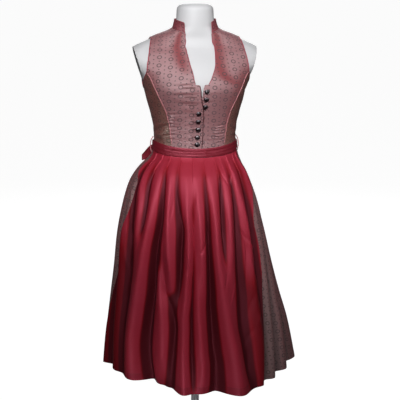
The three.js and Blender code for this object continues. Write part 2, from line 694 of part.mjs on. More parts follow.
// Domed buttons with a raised rim, each lying on its own front.
function buildButtons() {
  const profile = [
    new THREE.Vector2(0, 0),
    new THREE.Vector2(BUTTON_RADIUS * 0.8, 0),
    new THREE.Vector2(BUTTON_RADIUS, BUTTON_HEIGHT * 0.25),
    new THREE.Vector2(BUTTON_RADIUS * 0.92, BUTTON_HEIGHT * 0.6),
    new THREE.Vector2(BUTTON_RADIUS * 0.6, BUTTON_HEIGHT * 0.9),
    new THREE.Vector2(0, BUTTON_HEIGHT),
  ];
  buttons.forEach((button, index) => {
    const under = button.over ? lapRise(button.turn) : 0;
    const lift = BODICE_OUT + under + button.seat;
    const mesh = add(`button_${index + 1}`, new THREE.LatheGeometry(profile, 16), looks.pewter);
    mesh.position.copy(bodyPoint(button.turn, button.z, lift));
    const facing = outward(torsoBase, button.turn, button.z);
    mesh.quaternion.setFromUnitVectors(new THREE.Vector3(0, 1, 0), facing);
  });
}

// ---------------------------------------------------------------- skirt and apron

const skirtRows = [0, 0.15, 0.3, 0.45, 0.6, 0.73, 0.84, 0.91, 0.96, 1];
const apronColumns = 40;
const sideColumns = 6;

function bandHalf(turn) {
  return (BAND_HEIGHT + BAND_SIDE_EXTRA * Math.sin(radians(turn)) ** 2) / 2;
}

// Height of a row of the skirt and apron, from the hem to below the band.
function rowHeight(turn, v, hem) {
  return mix(hem, waistHeight(turn) - bandHalf(turn) - SEAM_GAP, v);
}

function apronTurn(u, z) {
  return mix(read(apronEdges, 'z', z, 'right'), read(apronEdges, 'z', z, 'left'), u);
}

// The turn of a column of the front panel: the apron's own columns in the middle
// and a few more out to each side seam, so that both pieces bend at one place.
function frontTurn(column, z) {
  const half = 0.06;
  if (column < sideColumns) {
    return mix(-SIDE_SEAM + half, apronTurn(0, z), column / sideColumns);
  }
  const past = column - sideColumns - apronColumns;
  if (past > 0) {
    return mix(apronTurn(1, z), SIDE_SEAM - half, past / sideColumns);
  }
  return apronTurn((column - sideColumns) / apronColumns, z);
}

function buildSkirt() {
  const rows = [...skirtRows, 2];
  const frontCount = apronColumns + 2 * sideColumns;
  // v of 2 is the row at the waist seam, above the apron's top row.
  const seamHeight = (turn) => waistHeight(turn) - SEAM_GAP / 2;
  const heightAt = (turn, v) => (v > 1 ? seamHeight(turn) : rowHeight(turn, v, hemHeight(turn)));
  const frontPanel = (u, v, out) => {
    const column = u * frontCount;
    const guess = v > 1 ? WAIST_FRONT : mix(HEM, WAIST_FRONT - BAND_HEIGHT / 2, v);
    const turn = frontTurn(column, guess);
    return skirtPoint(turn, heightAt(turn, v), out);
  };
  add('skirt_front', wall(frontPanel, steps(frontCount), rows, -CLOTH, 0), looks.jacquard);
  for (const [name, start, end] of [['left', SIDE_SEAM, 180], ['right', 180, 360 - SIDE_SEAM]]) {
    const panel = (u, v, out) => {
      const turn = mix(start + 0.06, end - 0.06, u);
      return skirtPoint(turn, heightAt(turn, v), out);
    };
    add(`skirt_back_${name}`, wall(panel, steps(18), rows, -CLOTH, 0), looks.jacquard);
  }
}

function buildApron() {
  const surface = (u, v, out) => {
    const guess = mix(HEM, WAIST_FRONT - BAND_HEIGHT / 2, v);
    const turn = apronTurn(u, guess);
    return apronPoint(turn, rowHeight(turn, v, APRON_HEM - HEM + hemHeight(turn)), out);
  };
  add('apron', wall(surface, steps(apronColumns), skirtRows, 0, CLOTH), looks.apron);
}

// ---------------------------------------------------------------- band, ties and bow

const KNOT_TURN = 204; // the bow is tied behind, towards the wearer's right
const knotSize = { width: 30, depth: 16, height: 34 };

function bandWall(name, start, end, low, high, columns, look) {
  const surface = (u, v, out) => {
    const turn = mix(start, end, u);
    const lap = LAP.rise * smooth(-13, -6, turn) * smooth(13, 6, turn);
    return waistPoint(turn, waistHeight(turn) + mix(low(turn), high(turn), v), out + lap);
  };
  add(name, wall(surface, steps(columns), [0, 0.5, 1], BAND_CLEAR, BAND_CLEAR + BAND_THICK), look);
}

function buildBand() {
  const ends = { right: -80, left: 69 };
  const half = (turn) => bandHalf(turn);
  bandWall('apron_band', ends.right, ends.left, (t) => -half(t), half, 26, looks.band);
  const tieHalf = () => 12;
  const knotRight = KNOT_TURN - 360;
  bandWall('tie_right', knotRight + 0.2, ends.right - 0.2, () => -12, tieHalf, 14, looks.band);
  bandWall('tie_left', ends.left + 0.2, KNOT_TURN - 0.2, () => -12, tieHalf, 22, looks.band);
}

// Thin loops at the sides of the waist, over the ties.
function buildLoops() {
  const radius = 1.4;
  const reach = 25;
  for (const [name, turn] of [['right', -91], ['left', 91]]) {
    const middle = waistHeight(turn);
    const rest = BAND_CLEAR + BAND_THICK + SEAM_GAP + radius;
    const points = [
      bodyPoint(turn, middle + reach, BODICE_OUT + SEAM_GAP + radius),
      waistPoint(turn, middle + reach * 0.68, rest),
      waistPoint(turn, middle + reach * 0.3, rest + 3),
      waistPoint(turn, middle - reach * 0.3, rest + 3.4),
      waistPoint(turn, middle - reach * 0.7, rest + 1),
      skirtPoint(turn, middle - reach, radius + 2.6),
    ];
    add(`belt_loop_${name}`, cord(points, radius, 3, 14), looks.jacquard);
  }
}

function buildBow() {
  const seat = BAND_CLEAR + BAND_THICK + SEAM_GAP;
  const middleHeight = waistHeight(KNOT_TURN);
  const centre = waistPoint(KNOT_TURN, middleHeight, seat + knotSize.depth / 2 + 0.4);
  const away = outward((t, z) => waistPoint(t, z, 0), KNOT_TURN, middleHeight).setZ(0).normalize();
  const aside = new THREE.Vector3(0, 0, 1).cross(away).negate();
  const place = (sideways, back, up) => centre.clone()
    .addScaledVector(aside, sideways)
    .addScaledVector(away, back)
    .add(new THREE.Vector3(0, 0, up));

  const knot = new THREE.SphereGeometry(0.5, 16, 10);
  knot.scale(knotSize.width, knotSize.depth, knotSize.height);
  const knotMesh = add('bow_knot', knot, looks.band);
  knotMesh.position.copy(centre);
  knotMesh.rotation.z = Math.atan2(-away.x, away.y);

  // Each loop leaves the knot, turns round at its tip and comes back behind.
  const loopReach = { right: 98, left: 92 };
  const droop = { right: 0.46, left: 0.3 };
  const standOff = { right: 17, left: 13 };
  for (const [name, side] of [['right', -1], ['left', 1]]) {
    const reach = loopReach[name];
    const surface = (u, v, out) => {
      const angle = mix(-0.96, 0.96, u) * Math.PI;
      const along = knotSize.width / 2 + (reach - knotSize.width / 2) * (0.5 + 0.5 * Math.cos(angle));
      const open = 7 * Math.sin(angle) * (0.35 + 0.65 * smooth(0, 60, along - 14));
      const wide = mix(9, 20, smooth(8, 0.6 * reach, along)) - 11 * smooth(0.66 * reach, reach, along);
      const up = mix(-wide, wide, v) - droop[name] * along;
      const sag = 0.0006 * along * along;
      const normalOut = out * Math.sign(Math.sin(angle) || 1) * Math.min(1, Math.abs(Math.sin(angle)) * 2);
      const tipOut = out * Math.max(0, Math.cos(angle));
      const lift = mix(1.5, standOff[name], smooth(15, 60, along));
      return place(side * (along + tipOut), open + lift - sag + normalOut, up);
    };
    add(`bow_loop_${name}`, wall(surface, steps(18), [0, 0.5, 1], 0, CLOTH), looks.apron);
  }

  // The two tails hang from the knot over the back of the skirt.
  const tails = [['right', -1, 380, 213], ['left', 1, 330, 195]];
  for (const [name, side, length, endTurn] of tails) {
    const startTurn = KNOT_TURN + (side < 0 ? 3.4 : -3.4);
    const surface = (u, v, out) => {
      const z = middleHeight - knotSize.height / 2 - 3.6 - length * (1 - v);
      const lower = 1 - v;
      const halfTurn = mix(3.1, 5.6, smooth(0, 0.5, lower));
      const turn = mix(startTurn, endTurn, lower) + mix(-halfTurn, halfTurn, u);
      const slant = 18 * (u - 0.5) * side * smooth(0.7, 1, lower);
      return tailPoint(turn, z + slant, 6 + out);
    };
    add(`bow_tail_${name}`, wall(surface, steps(4), steps(14), 0, CLOTH), looks.apron);
  }
}

// A tail rests on the crests of the folds and bridges the hollows.
function tailPoint(turn, z, out) {
  const base = (a, b) => {
    const at = (column) => read(skirtSections, 'z', b, column);
    const crest = mix(0, 22, smooth(FOLD_HEIGHTS.hip + 50, FOLD_HEIGHTS.knee, b));
    return sectionPoint(a, b, at('right') + crest, at('front') + crest, at('back') + crest, 0, at('power'));
  };
  return base(turn, z).addScaledVector(outward(base, turn, z), out);
}

buildForm();
buildStand();
buildBodice();
buildCollar();
buildPiping();
buildButtons();
buildSkirt();
buildApron();
buildBand();
buildLoops();
buildBow();

export default group;
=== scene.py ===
"""A sleeveless midi dirndl with its apron, on a white limbless dress form.

Tables are in millimetres and degrees; a turn is measured round the body from
centre front, positive towards the wearer's left.
"""

import math

import bpy
import numpy as np
from mathutils import Matrix, Vector


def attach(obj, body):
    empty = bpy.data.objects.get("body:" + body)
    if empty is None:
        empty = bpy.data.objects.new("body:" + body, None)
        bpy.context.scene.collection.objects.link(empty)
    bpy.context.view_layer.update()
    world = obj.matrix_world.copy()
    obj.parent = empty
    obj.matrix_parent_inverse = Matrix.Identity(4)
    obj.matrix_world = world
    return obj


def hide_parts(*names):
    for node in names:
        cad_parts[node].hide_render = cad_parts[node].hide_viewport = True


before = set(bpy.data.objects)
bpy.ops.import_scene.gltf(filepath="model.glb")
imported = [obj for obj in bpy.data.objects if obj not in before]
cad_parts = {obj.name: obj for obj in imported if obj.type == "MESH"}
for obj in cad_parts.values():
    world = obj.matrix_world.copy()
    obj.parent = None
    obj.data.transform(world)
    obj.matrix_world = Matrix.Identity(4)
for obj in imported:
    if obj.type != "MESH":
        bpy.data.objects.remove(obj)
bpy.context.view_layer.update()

# ------------------------------------------------------------------ studio
# A wide pale floor in a white room, a large soft lamp in front and above, a
# weaker one on the other side, a strong one behind and a small low one for the
# stand. The camera looks slightly down from chest height.


class Wire:
    """An output of a node; a sum or product of wires is a node too."""

    def __init__(self, socket):
        self.socket = socket
        self.tree = socket.id_data

    def __add__(self, other):
        return maths("ADD", self, other)

    def __sub__(self, other):
        return maths("SUBTRACT", self, other)

    def __rsub__(self, other):
        return maths("SUBTRACT", other, self)

    def __mul__(self, other):
        return maths("MULTIPLY", self, other)

    def __truediv__(self, other):
        return maths("DIVIDE", self, other)

    def __rtruediv__(self, other):
        return maths("DIVIDE", other, self)

    def __abs__(self):
        return maths("ABSOLUTE", self)


def connect(socket, value):
    """Feeds an input from a wire, or sets it to a plain value."""
    if isinstance(value, Wire):
        value.tree.links.new(value.socket, socket)
    else:
        socket.default_value = value


def node(tree, kind, outputs, inputs=(), **settings):
    """A new node, as the wire from one of its outputs or a list of several."""
    made = tree.nodes.new(kind)
    for name, value in settings.items():
        setattr(made, name, value)
    for name, value in dict(inputs).items():
        connect(made.inputs[name], value)
    if isinstance(outputs, tuple):
        return [Wire(made.outputs[name]) for name in outputs]
    return Wire(made.outputs[outputs])


def maths(operation, *values):
    """A math node on numbers and wires."""
    tree = next(value.tree for value in values if isinstance(value, Wire))
    return node(tree, "ShaderNodeMath", 0, enumerate(values), operation=operation)


def placed(name, data):
    """A new object in the scene."""
    item = bpy.data.objects.new(name, data)
    bpy.context.scene.collection.objects.link(item)
    return item


def lamp(name, place, target, size, power, opening):
    data = bpy.data.lights.new(name, "AREA")
    data.shape = "RECTANGLE"
    data.size, data.size_y = size
    data.energy = power
    data.spread = math.radians(opening)
    item = placed(name, data)
    item.location = place
    item.rotation_euler = (Vector(target) - Vector(place)).to_track_quat("-Z", "Y").to_euler()


lamp("front_lamp", (-0.55, -2.1, 2.25), (0, 0, 1.33), (1.2, 1.0), 7.9, 49)
lamp("side_lamp", (1.9, -1.7, 2.4), (0, 0, 1.12), (1.2, 1.0), 3.3, 66)
lamp("back_lamp", (0.6, 3.2, 2.6), (0, 0, 0.9), (1.8, 1.4), 34, 160)
lamp("stand_lamp", (-0.5, -1.3, 0.06), (0, 0, 0.3), (0.4, 0.2), 0.2, 30)

room = bpy.data.worlds.new("white_room")
room.use_nodes = True
tree = room.node_tree
tree.nodes.clear()
looked_at = node(tree, "ShaderNodeLightPath", "Is Camera Ray")
dim, bright = [node(tree, "ShaderNodeBackground", 0, {"Strength": power}) for power in (0.02, 1.25)]
both = node(tree, "ShaderNodeMixShader", 0, {0: looked_at, 1: dim, 2: bright})
node(tree, "ShaderNodeOutputWorld", (), {"Surface": both})
bpy.context.scene.world = room
bpy.context.scene.view_settings.view_transform = "Standard"


def new_material(name):
    material = bpy.data.materials.new(name)
    material.use_nodes = True
    return material, material.node_tree


def shade(material, values):
    """Sets inputs of a material's shader, from plain values and wires."""
    shader = material.node_tree.nodes["Principled BSDF"]
    for name, value in values.items():
        connect(shader.inputs[name], value)


bpy.ops.object.select_all(action="DESELECT")
bpy.ops.mesh.primitive_plane_add(size=600, location=(0, 0, 0))
floor = bpy.context.object
floor.name = "floor"
pale_floor, tree = new_material("pale_floor")
shade(pale_floor, {"Base Color": (0.22, 0.22, 0.22, 1), "Roughness": 0.9})
looked_at = node(tree, "ShaderNodeLightPath", "Is Camera Ray")
glow = node(tree, "ShaderNodeEmission", 0, {"Strength": looked_at * 0.96})
paint = Wire(tree.nodes["Principled BSDF"].outputs[0])
both = node(tree, "ShaderNodeAddShader", 0, {0: paint, 1: glow})
connect(tree.nodes["Material Output"].inputs["Surface"], both)
floor.data.materials.append(pale_floor)

camera = placed("camera", bpy.data.cameras.new("camera"))
camera.location = (-0.4010, -2.9731, 1.48)
camera.rotation_euler = (math.radians(77.2), 0, math.radians(-8))
camera.data.sensor_width = 36
camera.data.lens = 87.12
bpy.context.scene.camera = camera

# ------------------------------------------------------------------ dress form
# A smooth white torso with a neck stub and cut-off shoulders, moulded in one
# piece. A socket holds it on a painted steel pole with a round base plate.

MM = 0.001


def srgb(text):
    """A colour written as six hex digits, as linear numbers."""
    parts = [int(text[i:i + 2], 16) / 255 for i in (0, 2, 4)]
    line = [c / 12.92 if c <= 0.04045 else ((c + 0.055) / 1.055) ** 2.4 for c in parts]
    return (*line, 1.0)


def mixed(factor, first, second):
    """Two colours mixed by a factor."""
    return node(factor.tree, "ShaderNodeMix", 2, {0: factor, 6: first, 7: second}, data_type="RGBA")


def noise(vector, scale, detail=2.0, rough=0.5):
    return node(vector.tree, "ShaderNodeTexNoise", "Fac",
                {"Vector": vector, "Scale": scale, "Detail": detail, "Roughness": rough})


def bump(height, distance):
    return node(height.tree, "ShaderNodeBump", "Normal",
                {"Distance": distance, "Strength": 1.0, "Height": height})


def spread(value, low, high):
    """A 0 to 1 value spread between two others."""
    return node(value.tree, "ShaderNodeMapRange", 0, {"To Min": low, "To Max": high, "Value": value})


def object_place(tree, stretch=(1, 1, 1)):
    """Object coordinates, stretched."""
    place = node(tree, "ShaderNodeTexCoord", "Object")
    return node(tree, "ShaderNodeMapping", "Vector", {"Scale": stretch, "Vector": place})


moulded_white, tree = new_material("moulded_white")
where = object_place(tree)
clouds = noise(where, 9, 3)
shade(moulded_white, {"Base Color": mixed(clouds, srgb("B8B8BA"), srgb("C0C0C2")),
                      "Roughness": spread(clouds, 0.44, 0.56), "Normal": bump(noise(where, 900), 0.00008)})

painted_steel, tree = new_material("painted_steel")
where = object_place(tree)
rubbed = noise(where, 14, 4, 0.6)
shade(painted_steel, {"Base Color": mixed(rubbed, srgb("D6D6D8"), srgb("E0E0E2")),
                      "Roughness": spread(rubbed, 0.34, 0.5),
                      "Normal": bump(noise(where, 700, 3, 0.6), 0.0002)})


def finish(piece, material, slot, *nodes):
    """Gives a piece its material and hides the solids that it stands for; the slot is not used."""
    piece.data.materials.clear()
    piece.data.materials.append(material)
    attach(piece, "root")
    if nodes:
        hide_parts(*nodes)


def only(piece):
    """Selects one piece and nothing else."""
    bpy.ops.object.select_all(action="DESELECT")
    piece.select_set(True)
    bpy.context.view_layer.objects.active = piece


def edited(piece, *steps):
    """Runs edit steps, each with its settings, on the whole of a piece."""
    only(piece)
    bpy.ops.object.mode_set(mode="EDIT")
    bpy.ops.mesh.select_all(action="SELECT")
    for step, settings in steps:
        step(**settings)
    bpy.ops.object.mode_set(mode="OBJECT")


def smooth_by(degrees):
    """Smooths the shading of the selected piece, but for edges sharper than this."""
    bpy.ops.object.shade_smooth_by_angle(angle=math.radians(degrees))


def smooth_copy(solid, name, edge, bevel):
    """A merged copy of a solid, with soft edges and smooth shading."""
    piece = placed(name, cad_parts[solid].data.copy())
    edited(piece, (bpy.ops.mesh.remove_doubles, {"threshold": 0.00002}),
           (bpy.ops.mesh.tris_convert_to_quads, {}))
    soft = piece.modifiers.new("soft_edges", "BEVEL")
    soft.limit_method = "ANGLE"
    soft.angle_limit = math.radians(edge)
    soft.width = bevel
    soft.segments = 3
    bpy.ops.object.modifier_apply(modifier=soft.name)
    smooth_by(edge)
    return piece


torso = smooth_copy("form_torso", "torso", 38, 0.0022)
finish(torso, moulded_white, "form", "form_torso")
for part, bevel in (("socket", 0.001), ("pole", 0.0006), ("base", 0.0015)):
    piece = smooth_copy(f"form_{part}", f"stand_{part}", 30, bevel)
    finish(piece, painted_steel, "steel", f"form_{part}")

# ------------------------------------------------------------------ bodice
# Eight panels of shot jacquard, sewn on princess, side and shoulder seams. The
# wearer's right front buttons over the left; the neckline is deep and narrow.

BODICE_CLEAR = 2.5
CLOTH = 1.6
WAIST_FRONT = 967
WAIST_SIDE_RISE = 14
SET_IN = 0.02  # degrees each panel stops short of its seams

# height, half width, depth in front, depth behind, shift, power
body_sections = np.array([
    (800, 148, 104, 112, 0, 2.2), (860, 144, 100, 108, 0, 2.2), (910, 135, 95, 99, 0, 2.2),
    (960, 127, 95, 93, 0, 2.2), (1000, 124, 93, 90, 0, 2.2), (1040, 126, 96, 92, 0, 2.2),
    (1080, 134, 104, 96, 0, 2.25), (1120, 145, 113, 101, 0, 2.3), (1160, 155, 119, 105, 0, 2.35),
    (1200, 174, 115, 108, 0, 2.4), (1235, 208, 100, 107, 0, 2.4), (1262, 214, 82, 100, 0, 2.4),
    (1282, 190, 66, 91, 0, 2.4), (1300, 152, 58, 78, -2, 2.2), (1315, 119, 54, 68, -4, 2.1),
    (1332, 76, 52, 59, -8, 2), (1347, 58, 50, 54, -10, 2), (1392, 56, 50, 54, -12, 2),
], float)

# Seams and edges from the waist up: fraction of the way, turn, height.
front_princess = np.array([
    (0, 37, 972.1), (0.15, 39.5, 1030), (0.3, 41.5, 1090), (0.45, 46, 1137), (0.56, 50, 1180),
    (0.65, 51, 1213),
])
ARMHOLE = 0.65
# The armhole above the princess seams: fraction of the way, half width, height.
armhole = np.array([
    (0.65, 149.5, 1213), (0.72, 150, 1231), (0.78, 147.5, 1250), (0.85, 144, 1268), (0.91, 140.5, 1285),
    (0.96, 137, 1298), (1, 131.5, 1309),
])
over_edge = np.array([
    (0, 2.6, 967), (0.15, 4.3, 1028), (0.32, 4, 1084), (0.48, 1.2, 1136), (0.6, -0.3, 1175),
    (0.62, -3, 1177), (0.74, -4.8, 1222), (0.84, -6.5, 1268), (0.88, -11.2, 1299), (0.905, -16, 1313),
    (0.92, -22, 1324), (1, -89.88, 1337),
])
under_edge = np.array([
    (0, -3.6, 967), (0.32, -2.6, 1084), (0.41, -1, 1112), (0.48, 1.4, 1136), (0.6, 3.2, 1175),
    (0.62, 6.2, 1177), (0.75, 10.2, 1224), (0.84, 10.4, 1262), (0.88, 13.2, 1290), (0.905, 19, 1310),
    (0.92, 27, 1323), (1, 89.88, 1337),
])
side_seam = np.array([(0, 94, 980.9), (0.5, 93, 1070), (1, 92, 1158)])
back_princess = np.array([
    (0, 149, 970.7), (0.3, 146, 1080), (0.5, 139, 1160), (0.65, 130, 1212),
])
centre_back = np.array([(0, 180, 967), (0.7, 180, 1270), (0.84, 180, 1337), (1, 90.12, 1337)])


def read(table, at, column):
    """One column of a table, along a smooth curve through its rows."""
    x, y = table[:, 0], table[:, column]
    at = np.clip(np.asarray(at, float), x[0], x[-1])
    i = np.clip(np.searchsorted(x, at, side="right") - 1, 0, len(x) - 2)
    slopes = np.diff(y) / np.diff(x)
    across, step = slopes[i], x[i + 1] - x[i]
    before, after = slopes[np.maximum(i - 1, 0)], slopes[np.minimum(i + 1, len(slopes) - 1)]

    def shared(a, b):
        both = a + b
        return np.where(a * b > 0, 2 * a * b / np.where(both == 0, 1, both), 0)

    t = (at - x[i]) / step
    value = y[i] + (y[i + 1] - y[i]) * t * t * (3 - 2 * t)
    bend = shared(before, across) * t * (1 - t) ** 2 - shared(across, after) * t * t * (1 - t)
    return value + step * bend


def mix(a, b, t):
    return a + (b - a) * t


def smooth(start, end, x):
    t = np.clip((np.asarray(x, float) - start) / (end - start), 0, 1)
    return t * t * (3 - 2 * t)


def bell(x, reach):
    return np.exp(-((x / reach) ** 2))


def signed(turn):
    return (turn + 540) % 360 - 180


def oval(turn, z, width, front, back, shift, power):
    """A point of a rounded section round the body."""
    s, c = np.sin(np.radians(turn)), np.cos(np.radians(turn))
    x = width * np.sign(s) * np.abs(s) ** (2 / power)
    y = -np.where(c > 0, front, back) * np.sign(c) * np.abs(c) ** (2 / power) + shift
    return np.stack(np.broadcast_arrays(x, y, z), -1)


def body(turn, z):
    """The surface of the dress form, fuller at the bust."""
    at = [read(body_sections, z, k) for k in range(1, 6)]
    grow = 9 * bell(np.abs(signed(turn)) - 34, 24) * bell(z - 1168, 46)
    return oval(turn, z, at[0] + grow, at[1] + grow, at[2], at[3], at[4])


def outward(surface, turn, z):
    along = surface(turn + 0.6, z) - surface(turn - 0.6, z)
    up = surface(turn, z + 1.5) - surface(turn, z - 1.5)
    normal = np.cross(along, up)
    return normal / np.linalg.norm(normal, axis=-1, keepdims=True)


def lifted(surface, turn, z, out):
    """A surface moved outward by a distance."""
    turn, z = np.broadcast_arrays(np.asarray(turn, float), np.asarray(z, float))
    return surface(turn, z) + outward(surface, turn, z) * np.asarray(out, float)[..., None]


def waist_height(turn):
    return WAIST_FRONT + WAIST_SIDE_RISE * np.sin(np.radians(turn)) ** 2


# Creases of the bodice: turn, height, half length, half width, depth (negative
# for a ridge), tilt. Pulls at the buttonholes, puckers at the seams, folds at the waist.
bodice_creases = [
    (-13, 1174, 20, 3.5, 1.4, 4), (-17, 1157, 24, 4.5, -1.4, -6), (-14, 1147, 24, 3.5, 1.5, 3),
    (-12, 1131, 22, 4, -1.4, -4), (-10, 1120, 20, 3.5, 1.5, 2), (-9, 1100, 18, 3.5, -1.2, -5),
    (-8, 1077, 16, 3.5, 0.6, 6), (-10, 1052, 15, 4, 0.6, -5), (-8, 1028, 16, 4, 0.7, 5),
    (-9, 1003, 15, 4, 0.6, -8), (10, 1124, 13, 3.5, 0.7, -8), (12, 1146, 12, 3.5, 0.6, 6),
    (9, 1078, 16, 4, 0.5, -10), (10, 1040, 16, 4, 0.6, 6), (9, 1004, 14, 4, 0.5, -6),
    (-34, 1087, 17, 2.3, 2.0, 5), (-35, 1077, 14, 2.1, 1.8, -4), (-35, 1067, 18, 2.3, 2.1, 3),
    (-36, 1056, 14, 2.1, 1.7, -6), (-36, 1045, 17, 2.3, 2.0, 4), (-36, 1034, 15, 2.2, 1.7, -3),
    (-37, 1022, 18, 2.3, 2.0, 6), (-37, 1008, 15, 2.2, 1.7, -4),
    (28, 1040, 24, 2.3, 2.2, 2), (26, 1032, 28, 2.1, 2.1, -1), (27, 1023, 25, 2.3, 2.2, 2),
    (26, 1014, 28, 2.2, 2.1, -2), (27, 1005, 25, 2.1, 2.0, 1), (29, 1050, 18, 2.4, 1.6, 4),
    (27, 996, 22, 2.1, 1.8, -1),
    (-64, 1036, 44, 6, 3.2, 18), (-62, 1020, 34, 6, -2.4, 15), (-68, 1004, 28, 6, 1.8, -8),
    (-76, 1062, 30, 8, 1.5, 20), (-60, 1110, 22, 8, 1.1, 30), (-70, 1150, 24, 8, 1.2, -24),
    (64, 1030, 30, 7, 2.0, -16), (70, 1012, 28, 6, 1.6, 8), (66, 1068, 26, 8, 1.2, -22),
    (62, 1120, 24, 8, 1.2, -30), (74, 1150, 22, 8, 1.0, 18),
    (-112, 1030, 34, 7, 1.8, 10), (-128, 1008, 30, 6, 1.6, -8), (-120, 1090, 28, 9, 1.3, 26),
    (110, 1022, 32, 7, 1.9, -12), (126, 1044, 28, 7, 1.4, 8), (132, 1100, 26, 9, 1.2, -24),
    (165, 1020, 30, 7, 1.6, 5), (-168, 1032, 32, 7, 1.7, -6), (174, 1000, 26, 6, 1.4, -4),
    (-160, 1006, 24, 6, 1.3, 8), (158, 1190, 30, 12, 1.3, 62), (-157, 1184, 32, 12, 1.4, -60),
    (178, 1240, 30, 12, 1.0, 4), (-46, 1236, 15, 6, 1.4, 50), (46, 1230, 15, 6, 1.4, -48),
    (40, 1215, 22, 7, 1.3, -62), (-42, 1205, 20, 7, 1.0, 60),
]
# Soft hollows beside the neckline, from the collar down: height, turn, reach, depth.
neck_hollows = [
    np.array([(1195, -9, 8, 0), (1211, -9.6, 9, 1), (1234, -10.5, 9, 2.6), (1262, -12, 9, 3.6),
              (1290, -17, 9, 3.6), (1317, -27, 10, 3), (1337, -40, 12, 1.6)]),
    np.array([(1160, 38, 16, 0), (1176, 33, 15, 1.6), (1195, 23, 15, 3.2), (1213, 16.5, 14, 4.4),
              (1236, 12.5, 13, 5.2), (1261, 12, 13, 5.4), (1290, 17, 13, 5), (1316, 29, 13, 4),
              (1337, 41, 12, 2)]),
]


CREASE_DEGREE, HOLLOW_DEGREE = 2.1, 2.3  # millimetres round the body to a degree


def hollow_shares(turn, z, wider):
    """How much of each neckline hollow reaches a point, with the hollow's depth there."""
    for hollow in neck_hollows:
        inside = smooth(hollow[0, 0] - 1, hollow[0, 0] + 20, z)
        away = (turn - read(hollow, z, 1)) * HOLLOW_DEGREE
        yield bell(away, wider * read(hollow, z, 2)) * inside, read(hollow, z, 3)


def crease_depth(turn, z):
    """How far the creases and hollows take the bodice in."""
    total = np.zeros(np.broadcast(turn, z).shape)
    for middle, height, length, width, depth, tilt in bodice_creases:
        x, y = signed(turn - middle) * CREASE_DEGREE, z - height
        c, s = math.cos(math.radians(tilt)), math.sin(math.radians(tilt))
        off = y * c - x * s
        across = bell(off, width) - 0.7 * bell(off - 1.9 * width, width) * np.sign(depth)
        total += depth * bell(x * c + y * s, length) * across
    return total + sum(share * depth for share, depth in hollow_shares(turn, z, 1))


# Areas of painted shade, a deeper red where the cloth turns from the light, as in
# the hollows beside the neckline: turn, height, reach round the body, half height, share.
painted_red_shade_areas = [
    (47, 1180, 26, 60, 1), (-47, 1192, 16, 40, 0.5), (-10, 1112, 26, 22, 0.25), (38, 1092, 16, 62, 0.75),
]


def painted_red_shade(turn, z):
    """How much painted shade, a deeper red, lies at a point, in the neckline hollows and the areas above,
    from 0 to 1.
    """
    total = sum(share * np.clip(depth / 3, 0, 1) for share, depth in hollow_shares(turn, z, 1.25))
    for middle, height, reach, length, share in painted_red_shade_areas:
        total = total + share * bell((turn - middle) * HOLLOW_DEGREE, reach) * bell(z - height, length)
    return np.clip(total, 0, 1)


def with_armhole(seam, shoulder, behind):
    """A princess seam carried on round the armhole to the shoulder."""
    at = np.linspace(ARMHOLE, 1, 36)[1:]
    half, z = read(armhole, at, 1), read(armhole, at, 2)
    share = np.clip(half / read(body_sections, z, 1), 0, 1)
    lean = np.degrees(np.arcsin(share ** (read(body_sections, z, 5) / 2)))
    turn = np.where(behind, np.maximum(180 - lean, shoulder), np.minimum(lean, shoulder))
    turn[-1] = shoulder
    return np.concatenate([seam, np.column_stack([at, turn, z])])


front_princess = with_armhole(front_princess, 89.88, False)
back_princess = with_armhole(back_princess, 90.12, True)


def lap_rise(turn):
    return 2.4 * smooth(-10, -4, turn)


def on_bodice(turn, z, out, rise=0, ease=1):
    """Points on the bodice, with its creases, which never reach the form."""
    dip = np.minimum(crease_depth(turn, z) * ease, BODICE_CLEAR + rise - 0.5)
    return lifted(body, turn, z, BODICE_CLEAR + out + rise - dip)


def bodice_panel(first, first_side, second, second_side, top, rise):
    """The surface of a panel between two edges, for u and v from 0 to 1."""

    def place(u, v):
        first_at = v * (1 if first is side_seam else top)
        second_at = v * (1 if second is side_seam else top)
        a = first_side * read(first, first_at, 1) + SET_IN
        b = second_side * read(second, second_at, 1) - SET_IN
        turn = mix(a, b, u)
        z = mix(read(first, first_at, 2), read(second, second_at, 2), u)
        low = mix(first[0, 2], second[0, 2], u)
        return turn, z + (waist_height(turn) + 0.15 - low) * (1 - v) ** 3

    def surface(u, v, out):
        turn, z = place(u, v)
        ease = smooth(waist_height(turn) + 4, waist_height(turn) + 22, z)
        return on_bodice(turn, z, out, rise(turn), ease)

    return place, surface


def section_length(turn, z):
    """Length along the cloth from centre front, at one height."""
    steps = np.linspace(0, 1, 33)
    line = body(turn[..., None] * steps, z[..., None])
    return np.linalg.norm(np.diff(line, axis=-2), axis=-1).sum(-1) * np.sign(turn)


def rise_length(turn, z):
    """Length up the cloth from below the waist."""
    steps = np.linspace(0, 1, 41)
    line = body(turn[..., None], 960 + (z[..., None] - 960) * steps)
    return np.linalg.norm(np.diff(line, axis=-2), axis=-1).sum(-1)


def mesh_piece(name, points, faces, flat):
    """A selected mesh on points in millimetres, with its flat cut as its UV map."""
    mesh = bpy.data.meshes.new(name)
    mesh.from_pydata((points.reshape(-1, 3) * MM).tolist(), [], faces)
    corners = np.empty(len(mesh.loops), int)
    mesh.loops.foreach_get("vertex_index", corners)
    chart = mesh.uv_layers.new(name="cloth")
    chart.data.foreach_set("uv", (flat.reshape(-1, 2)[corners] * MM).ravel())
    piece = placed(name, mesh)
    only(piece)
    return piece


def cloth_piece(name, points, flat, thickness):
    """A thin shell on rows of points, with its flat cut."""
    corner = np.arange(points[..., 0].size).reshape(points.shape[:2])
    faces = np.stack([corner[:-1, :-1], corner[:-1, 1:], corner[1:, 1:], corner[1:, :-1]], -1)
    piece = mesh_piece(name, points, faces.reshape(-1, 4).tolist(), flat)
    if thickness:
        shell = piece.modifiers.new("cloth", "SOLIDIFY")
        shell.thickness = thickness * MM
        shell.offset = -1
        shell.use_even_offset = False
        bpy.ops.object.modifier_apply(modifier=shell.name)
    smooth_by(50)
    return piece


